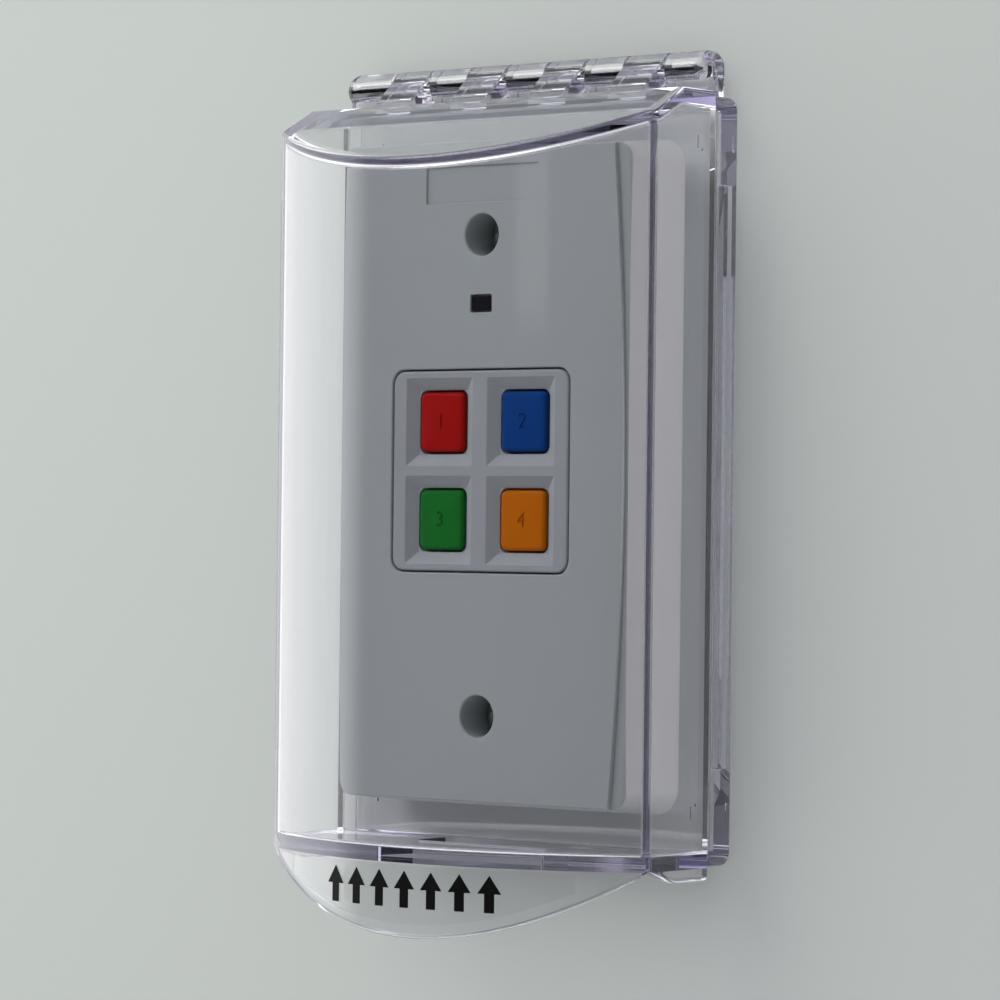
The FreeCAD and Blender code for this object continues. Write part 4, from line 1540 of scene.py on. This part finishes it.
    def build(self) -> None:
        """Build, dress and hand over the shell and its lamp window."""
        drop, reach = self.shoulder_drop, self.shoulder_reach
        shoulder = [(-self.shoulder * PAST, PAST), (self.shoulder * drop, -drop), (reach, -drop), (reach, PAST)]
        lean = self.step_run / self.step
        step = [(-lean * PAST, PAST), (self.step_run, -self.step), (self.step_reach, -self.step),
                (self.step_reach, PAST)]
        shell = self.form("front_shell", 0.0, self.corner, self.box.front)
        combine(shell, [self.crease_cutter(side, shoulder) for side in (-1, 1)], Cut.TAKE_AWAY)
        soften(shell, self.edge_round, self.edge_angle, 3)
        combine(shell, [self.crease_cutter(side, step) for side in (-1, 1)], Cut.TAKE_AWAY)
        soften(shell, self.step_round, self.step_angle)
        hollow = self.form("hollow", self.wall, self.inner_corner, self.box.front - self.wall)
        hollow.location.y = self.hollow_lift * MM
        combine(shell, [hollow], Cut.TAKE_AWAY)
        combine(shell, self.towers(), Cut.JOIN)
        combine(shell, self.cutters(), Cut.TAKE_AWAY)
        hand_over(dress(shade(shell), self.finishes.shell), "station", "white_shell", "housing_front")
        lens = rounded_slab("lamp_window", self.window, self.lens_corner, 0.0, self.lens_round)
        hand_over(dress(shade(lens), self.finishes.window), "station", "dark_window", "led_window")


@dataclass
class Keypad:
    """The bezel with its four bevelled wells and the numbered buttons."""

    finishes: Finishes
    corner: float = 2.4
    edge: float = 0.45
    well_depth: float = 1.3
    well_bevel: float = 2.1
    slide_gap: float = 0.25
    open_width: float = 10.2
    open_height: float = 10.7
    cap_width: float = 9.75
    cap_height: float = 10.4
    cap_corner: float = 1.2
    cap_round: float = 0.7
    cap_crown: float = 0.12
    crown_shares: tuple[float, ...] = (0.2, 0.4, 0.6, 0.8)
    crown_corner: float = 0.75
    least_corner: float = 0.1
    corner_share: float = 0.6
    digit_size: float = 3.78
    digit_depth: float = 0.12
    seam: float = 0.1
    well_corner: float = 0.25
    soft_edge: float = 0.28
    flange_gap: float = 0.1
    flange_thickness: float = 0.8
    flange_corner: float = 0.4
    flange_round: float = 0.1
    stem: float = 4.0
    stem_corner: float = 0.3
    stem_overlap: float = 0.3
    overlap: float = 0.02
    bezel: Box = field(default_factory=lambda: Box.of("keypad_bezel"))

    def well(self, x: float, z: float) -> list[Piece]:
        """Return the cutters of one well and its opening."""
        front = self.bezel.front
        width = self.open_width + 2 * self.slide_gap
        height = self.open_height + 2 * self.slide_gap
        spread = self.well_bevel * (self.well_depth + PAST) / self.well_depth
        corner = self.well_corner
        slope = stack("slope", x, z, [(front - self.well_depth, width, height, corner),
                                      (front + PAST, width + 2 * spread, height + 2 * spread, corner)], 3)
        hole = Box.about(x, z, width / 2, height / 2, self.bezel.back - PAST, front)
        return [slope, rounded_slab("opening", hole, self.cap_corner + self.slide_gap)]

    def digit(self, number: int, node: Box) -> Piece:
        """Return the cutter of one sunk digit.

        Args:
            number: The digit.
            node: The box of its button.

        Returns:
            The closed object.
        """
        curve = bpy.data.curves.new("digit", "FONT")
        curve.body = str(number)
        curve.align_x = "CENTER"
        curve.align_y = "CENTER"
        curve.size = self.digit_size * MM
        curve.extrude = self.digit_depth * MM
        carrier = new_object("digit", curve)
        mesh = evaluated_mesh(carrier)
        bpy.data.objects.remove(carrier)
        place = Matrix.Translation(at(node.x_mid, node.front, node.z_mid))
        mesh.transform(place @ Matrix.Rotation(math.pi / 2, 4, "X"))
        mend(mesh)
        digit = dress(new_object("digit", mesh), *self.finishes.caps[number - 1])
        # The digit's faces take the darker digit colour, painted shade in the grooves.
        mesh.polygons.foreach_set("material_index", [1] * len(mesh.polygons))
        return digit

    def cap(self, number: int) -> Piece:
        """Return one button: cap, holding flange and stem, with its sunk digit."""
        node = Box.of(f"button_{number}")
        width, height, edge, crown = self.cap_width, self.cap_height, self.cap_round, self.cap_crown
        flange_front = self.bezel.back - self.flange_gap
        flange_back = flange_front - self.flange_thickness
        levels = [(flange_front - self.overlap, width, height, self.cap_corner)]
        for inset, away in rounding(edge, 5):
            levels.append((node.front - crown - away, width - 2 * inset, height - 2 * inset,
                           self.cap_corner - inset * self.corner_share))
        for share in self.crown_shares:
            levels.append((node.front - crown + crown * (1 - (1 - share) ** 2),
                           width - 2 * (edge + share * (width / 2 - edge)),
                           height - 2 * (edge + share * (height / 2 - edge)),
                           max(self.crown_corner * (1 - share), self.least_corner)))
        cap = stack(f"cap_{number}", node.x_mid, node.z_mid, levels, 6)
        flange = node.grown(0.0, flange_back, flange_front)
        stem = Box.about(node.x_mid, node.z_mid, self.stem / 2, self.stem / 2, node.back,
                         flange_back + self.stem_overlap)
        combine(cap, [rounded_slab("flange", flange, self.flange_corner, self.flange_round, self.flange_round),
                      rounded_slab("stem", stem, self.stem_corner)], Cut.JOIN)
        return combine(dress(cap, *self.finishes.caps[number - 1]), [self.digit(number, node)], Cut.TAKE_AWAY)

    def build(self) -> None:
        """Build, dress and hand over the bezel and the four buttons."""
        drawn = self.bezel.grown(-self.seam, self.bezel.back, self.bezel.front)
        bezel = rounded_slab("keypad_frame", drawn, self.corner - self.seam, 0.0, self.edge)
        for number in range(1, len(CAPS) + 1):
            node = Box.of(f"button_{number}")
            combine(bezel, self.well(node.x_mid, node.z_mid), Cut.TAKE_AWAY)
        soften(bezel, self.soft_edge, 20.0, 3)
        hand_over(dress(shade(bezel, 40.0), self.finishes.bezel), "station", "white_shell", "keypad_bezel")
        for number, hue in enumerate(CAPS, 1):
            hand_over(shade(self.cap(number)), f"push_{number}", f"{hue}_button", f"button_{number}")


@dataclass
class BoxScrews:
    """The two long screws that hold the station to the wall box."""

    finishes: Finishes
    shank: float = 1.75
    neck: float = 1.45
    neck_end: float = -0.5
    head: float = 3.3
    head_rim: float = 0.9
    head_height: float = 2.1
    seat: float = 8.8
    thread_pitch: float = 0.79
    thread_depth: float = 0.3
    slot_width: float = 1.1
    slot_reach: float = 2.05
    slot_depth: float = 1.1
    slot_corner: float = 0.25
    point: float = 0.5
    point_rows: int = 6
    thread_rows: int = 8
    thread_start_rows: int = 10
    thread_end_rows: int = 4
    turns: int = 40
    box: Box = field(default_factory=lambda: Box.of("box_screws"))

    def threaded(self) -> Piece:
        """Return the lower screw: thread, neck, domed head and cross slot."""
        start = self.box.back
        rows = int((self.neck_end - start) / self.thread_pitch * self.thread_rows)
        place = about_height(-SCREW_RISE)
        rings = [[place(0.0, 0.0, start)] * self.turns]
        for row in range(rows + 1):
            depth = start + (self.neck_end - start) * row / rows
            fade = min(row / self.thread_start_rows, (rows - row) / self.thread_end_rows, 1.0)
            point = (1 - min(row / self.point_rows, 1.0)) * self.point
            radii = []
            for step in range(self.turns):
                phase = (depth / self.thread_pitch - step / self.turns) % 1.0
                radii.append(self.shank - abs(2 * phase - 1) * self.thread_depth * fade - point)
            rings.append(turned_ring(place, radii, depth))
        rim = self.seat + self.head_rim
        crown = [(self.neck, self.neck_end), (self.neck, self.seat), (self.head, self.seat), (self.head, rim)]
        crown += [(self.head * cosine, rim + (self.head_height - self.head_rim) * sine)
                  for sine, cosine in quarter_turn(8)]
        rings += [turned_ring(place, [radius] * self.turns, depth) for radius, depth in crown]
        top = self.seat + self.head_height
        half, reach = self.slot_width / 2, self.slot_reach
        arms = [Box.about(0.0, -SCREW_RISE, x_half, z_half, top - self.slot_depth, top + PAST)
                for x_half, z_half in ((half, reach), (reach, half))]
        return combine(loft("screw", rings, caps=()), [rounded_slab("arm", arm, self.slot_corner) for arm in arms],
                       Cut.TAKE_AWAY)

    def build(self) -> None:
        """Repeat the screw at its two places, dress it and hand it over."""
        pair = LineTree().run("wall_box_screws", self.threaded(), self.finishes.screw, Count=2,
                              Step=(0.0, 0.0, 2 * SCREW_RISE * MM))
        hand_over(shade(pair, 35.0), "station", "screw_steel", "box_screws")


class InnerParts:
    """The pieces inside the housing, which keep their CAD form and get their finishes."""

    def __init__(self, finishes: Finishes) -> None:
        """Remember which finish each node gets."""
        self.finish_of = {
            "rear_cover": finishes.shell, "status_led": finishes.lamp, "circuit_board": finishes.board,
            "coin_cell": finishes.cell, "cell_tray": finishes.black, "cell_clip": finishes.tin,
            "radio_board": finishes.board, "radio_can": finishes.tin, "control_chip": finishes.black,
            "crystal": finishes.tin, "antenna": finishes.tin, "board_screws": finishes.screw,
        }
        for number in range(1, len(CAPS) + 1):
            self.finish_of[f"switch_{number}"] = finishes.black
            self.finish_of[f"switch_plunger_{number}"] = finishes.black

    def build(self) -> None:
        """Give every inner node its finish."""
        for name, material in self.finish_of.items():
            dress(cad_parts[name], material)
            log.info("%s keeps its form", name)


@dataclass(frozen=True)
class SoftBox:
    """One soft lamp that looks at the station.

    Args:
        name: The lamp's name.
        azimuth: Its direction in degrees, from the front to the right.
        elevation: Its height in degrees.
        distance: How far off it stands, in metres.
        width, height: Its size in metres.
        power: Its power in watts.
        colour: The colour of its light.
        mirrored: Whether it shows in reflections.
    """

    name: str
    azimuth: float
    elevation: float
    distance: float
    width: float
    height: float
    power: float
    colour: Colour = (1.0, 1.0, 1.0)
    mirrored: bool = True

    def build(self) -> None:
        """Place the lamp."""
        data = bpy.data.lights.new(self.name, "AREA")
        data.shape = "RECTANGLE"
        data.size = self.width
        data.size_y = self.height
        data.energy = self.power
        data.color = self.colour
        lamp = new_object(self.name, data)
        lamp.visible_glossy = self.mirrored
        lamp.visible_transmission = self.mirrored
        out = direction(math.radians(self.azimuth), math.radians(self.elevation))
        lamp.location = out * self.distance
        lamp.rotation_euler = out.to_track_quat("Z", "Y").to_euler()


@dataclass
class Studio:
    """The staged wall and floor, the lamps, the world and the camera."""

    finishes: Finishes
    azimuth: float = 39.219
    elevation: float = -0.423
    roll: float = 0.656
    lens: float = 161.06
    sensor: float = 36.0
    aim_right: float = -7.24
    aim_up: float = -4.086
    distance: float = 787.42
    room: float = 0.75
    window: float = 1.45
    gloom: float = 0.015
    right_dim: float = 0.35
    far_lamp: float = 0.35
    view: Colour = (0.62, 0.64, 0.63)
    wall_y: float = 0.0003
    wall_half: float = 0.9
    floor_z: float = -0.42
    floor_y: float = -1.4
    lamps: tuple[SoftBox, ...] = (
        SoftBox("key_box", -38.0, 42.0, 1.7, 1.0, 1.0, 8.5, mirrored=False),
        SoftBox("key_glow", -38.0, 42.0, 1.6, 1.0, 1.0, 7.5),
        SoftBox("window_box", -74.0, 4.0, 1.5, 0.75, 1.6, 5.0, mirrored=False),
        SoftBox("side_box", 112.0, 10.0, 1.6, 0.7, 1.2, 15.0, (1.0, 0.86, 0.86)),
        SoftBox("back_box", 160.0, 30.0, 1.6, 1.0, 1.0, 9.0),
    )

    def camera(self) -> None:
        """Place the camera at the photograph's angle."""
        azimuth, elevation, roll = (math.radians(value) for value in (self.azimuth, self.elevation, self.roll))
        back = direction(azimuth, elevation)
        right = Vector((math.cos(azimuth), math.sin(azimuth), 0.0))
        up = back.cross(right)
        place = (right * self.aim_right + up * self.aim_up + back * self.distance) * MM
        turned_right = right * math.cos(roll) + up * math.sin(roll)
        turned_up = up * math.cos(roll) - right * math.sin(roll)
        data = bpy.data.cameras.new("camera")
        data.sensor_width = self.sensor
        data.lens = self.lens
        data.clip_start = 0.01
        camera = new_object("camera", data)
        rotation = Matrix((turned_right, turned_up, back)).transposed()
        camera.matrix_world = Matrix.Translation(place) @ rotation.to_4x4()
        bpy.context.scene.camera = camera

    def world(self) -> None:
        """Light the room softly: pale all round, dark behind the viewer, with a bright window on the left."""
        world = bpy.data.worlds.new("room")
        world.use_nodes = True
        sketch = NodeSketch(world.node_tree)
        math_of, fade, product = sketch.math, sketch.fade, sketch.product
        parts = sketch.add("ShaderNodeSeparateXYZ", sketch.add("ShaderNodeTexCoord").outputs["Generated"]).outputs
        turn = math_of("ARCTAN2", parts["X"], product(parts["Y"], -1.0))
        turn = product(turn, 180 / math.pi)
        rise = parts["Z"]
        height = math_of("ABSOLUTE", rise)
        path = sketch.add("ShaderNodeLightPath").outputs
        # Turns are in degrees from the front to the right, and heights are sines of the elevation.
        straight = product(path["Is Transmission Ray"], math_of("LESS_THAN", path["Glossy Depth"], 0.5))
        window = product(fade(turn, -62.0, -72.0), fade(turn, -135.0, -115.0), fade(height, 0.7, 0.45),
                         math_of("SUBTRACT", 1.0, straight))
        gloom = product(fade(turn, -65.0, -57.0), fade(turn, 52.0, 36.0), fade(height, 0.4, 0.2))
        lamp = product(fade(turn, -9.0, -6.0), fade(turn, 3.0, 0.0), fade(rise, 0.04, 0.055), fade(rise, 0.12, 0.09))
        dim = product(fade(turn, 45.0, 60.0), fade(turn, 150.0, 125.0), self.right_dim)
        rest = math_of("MAXIMUM", math_of("SUBTRACT", 1.0, math_of("ADD", window, gloom)), 0.0)
        level = product(product(rest, self.room), math_of("SUBTRACT", 1.0, dim))
        for share, strength in ((window, self.window), (gloom, self.gloom), (lamp, self.far_lamp)):
            level = math_of("ADD", level, product(share, strength))
        shown = sketch.blend(path["Is Camera Ray"], level, self.view)
        light = sketch.add("ShaderNodeBackground", Color=shown, Strength=1.0)
        sketch.add("ShaderNodeOutputWorld", Surface=light.outputs["Background"])
        bpy.context.scene.world = world

    def backdrop(self) -> None:
        """Stage the wall just behind the base and a pale floor well below."""
        half, floor = self.wall_half, self.floor_z
        foot = [(-half, self.wall_y, floor), (half, self.wall_y, floor)]
        wall = foot + [(half, self.wall_y, half), (-half, self.wall_y, half)]
        ground = [(-half, self.floor_y, floor), (half, self.floor_y, floor)] + foot[::-1]
        for name, corners, material in (("wall", wall, self.finishes.wall), ("floor", ground, self.finishes.floor)):
            mesh = bpy.data.meshes.new(name)
            mesh.from_pydata(corners, [], [(0, 1, 2, 3)])
            plane = dress(new_object(name, mesh), material)

    def build(self) -> None:
        """Set up everything around the station."""
        bpy.context.scene.view_settings.view_transform = "Standard"
        self.camera()
        self.world()
        self.backdrop()
        for lamp in self.lamps:
            lamp.build()


def main() -> None:
    """Build the station piece by piece, then the studio around it."""
    logging.basicConfig(level=logging.INFO, format="%(name)s: %(message)s")
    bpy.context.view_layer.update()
    finishes = Finishes()
    hinge = Hinge(finishes)
    cover = ClearCover(finishes, hinge)
    cover.build()
    cover.build_film()
    hinge.build_pin()
    ClearBase(finishes, hinge).build()
    WallPlate(finishes).build()
    Keypad(finishes).build()
    BoxScrews(finishes).build()
    InnerParts(finishes).build()
    Studio(finishes).build()


if __name__ == "__main__":
    main()
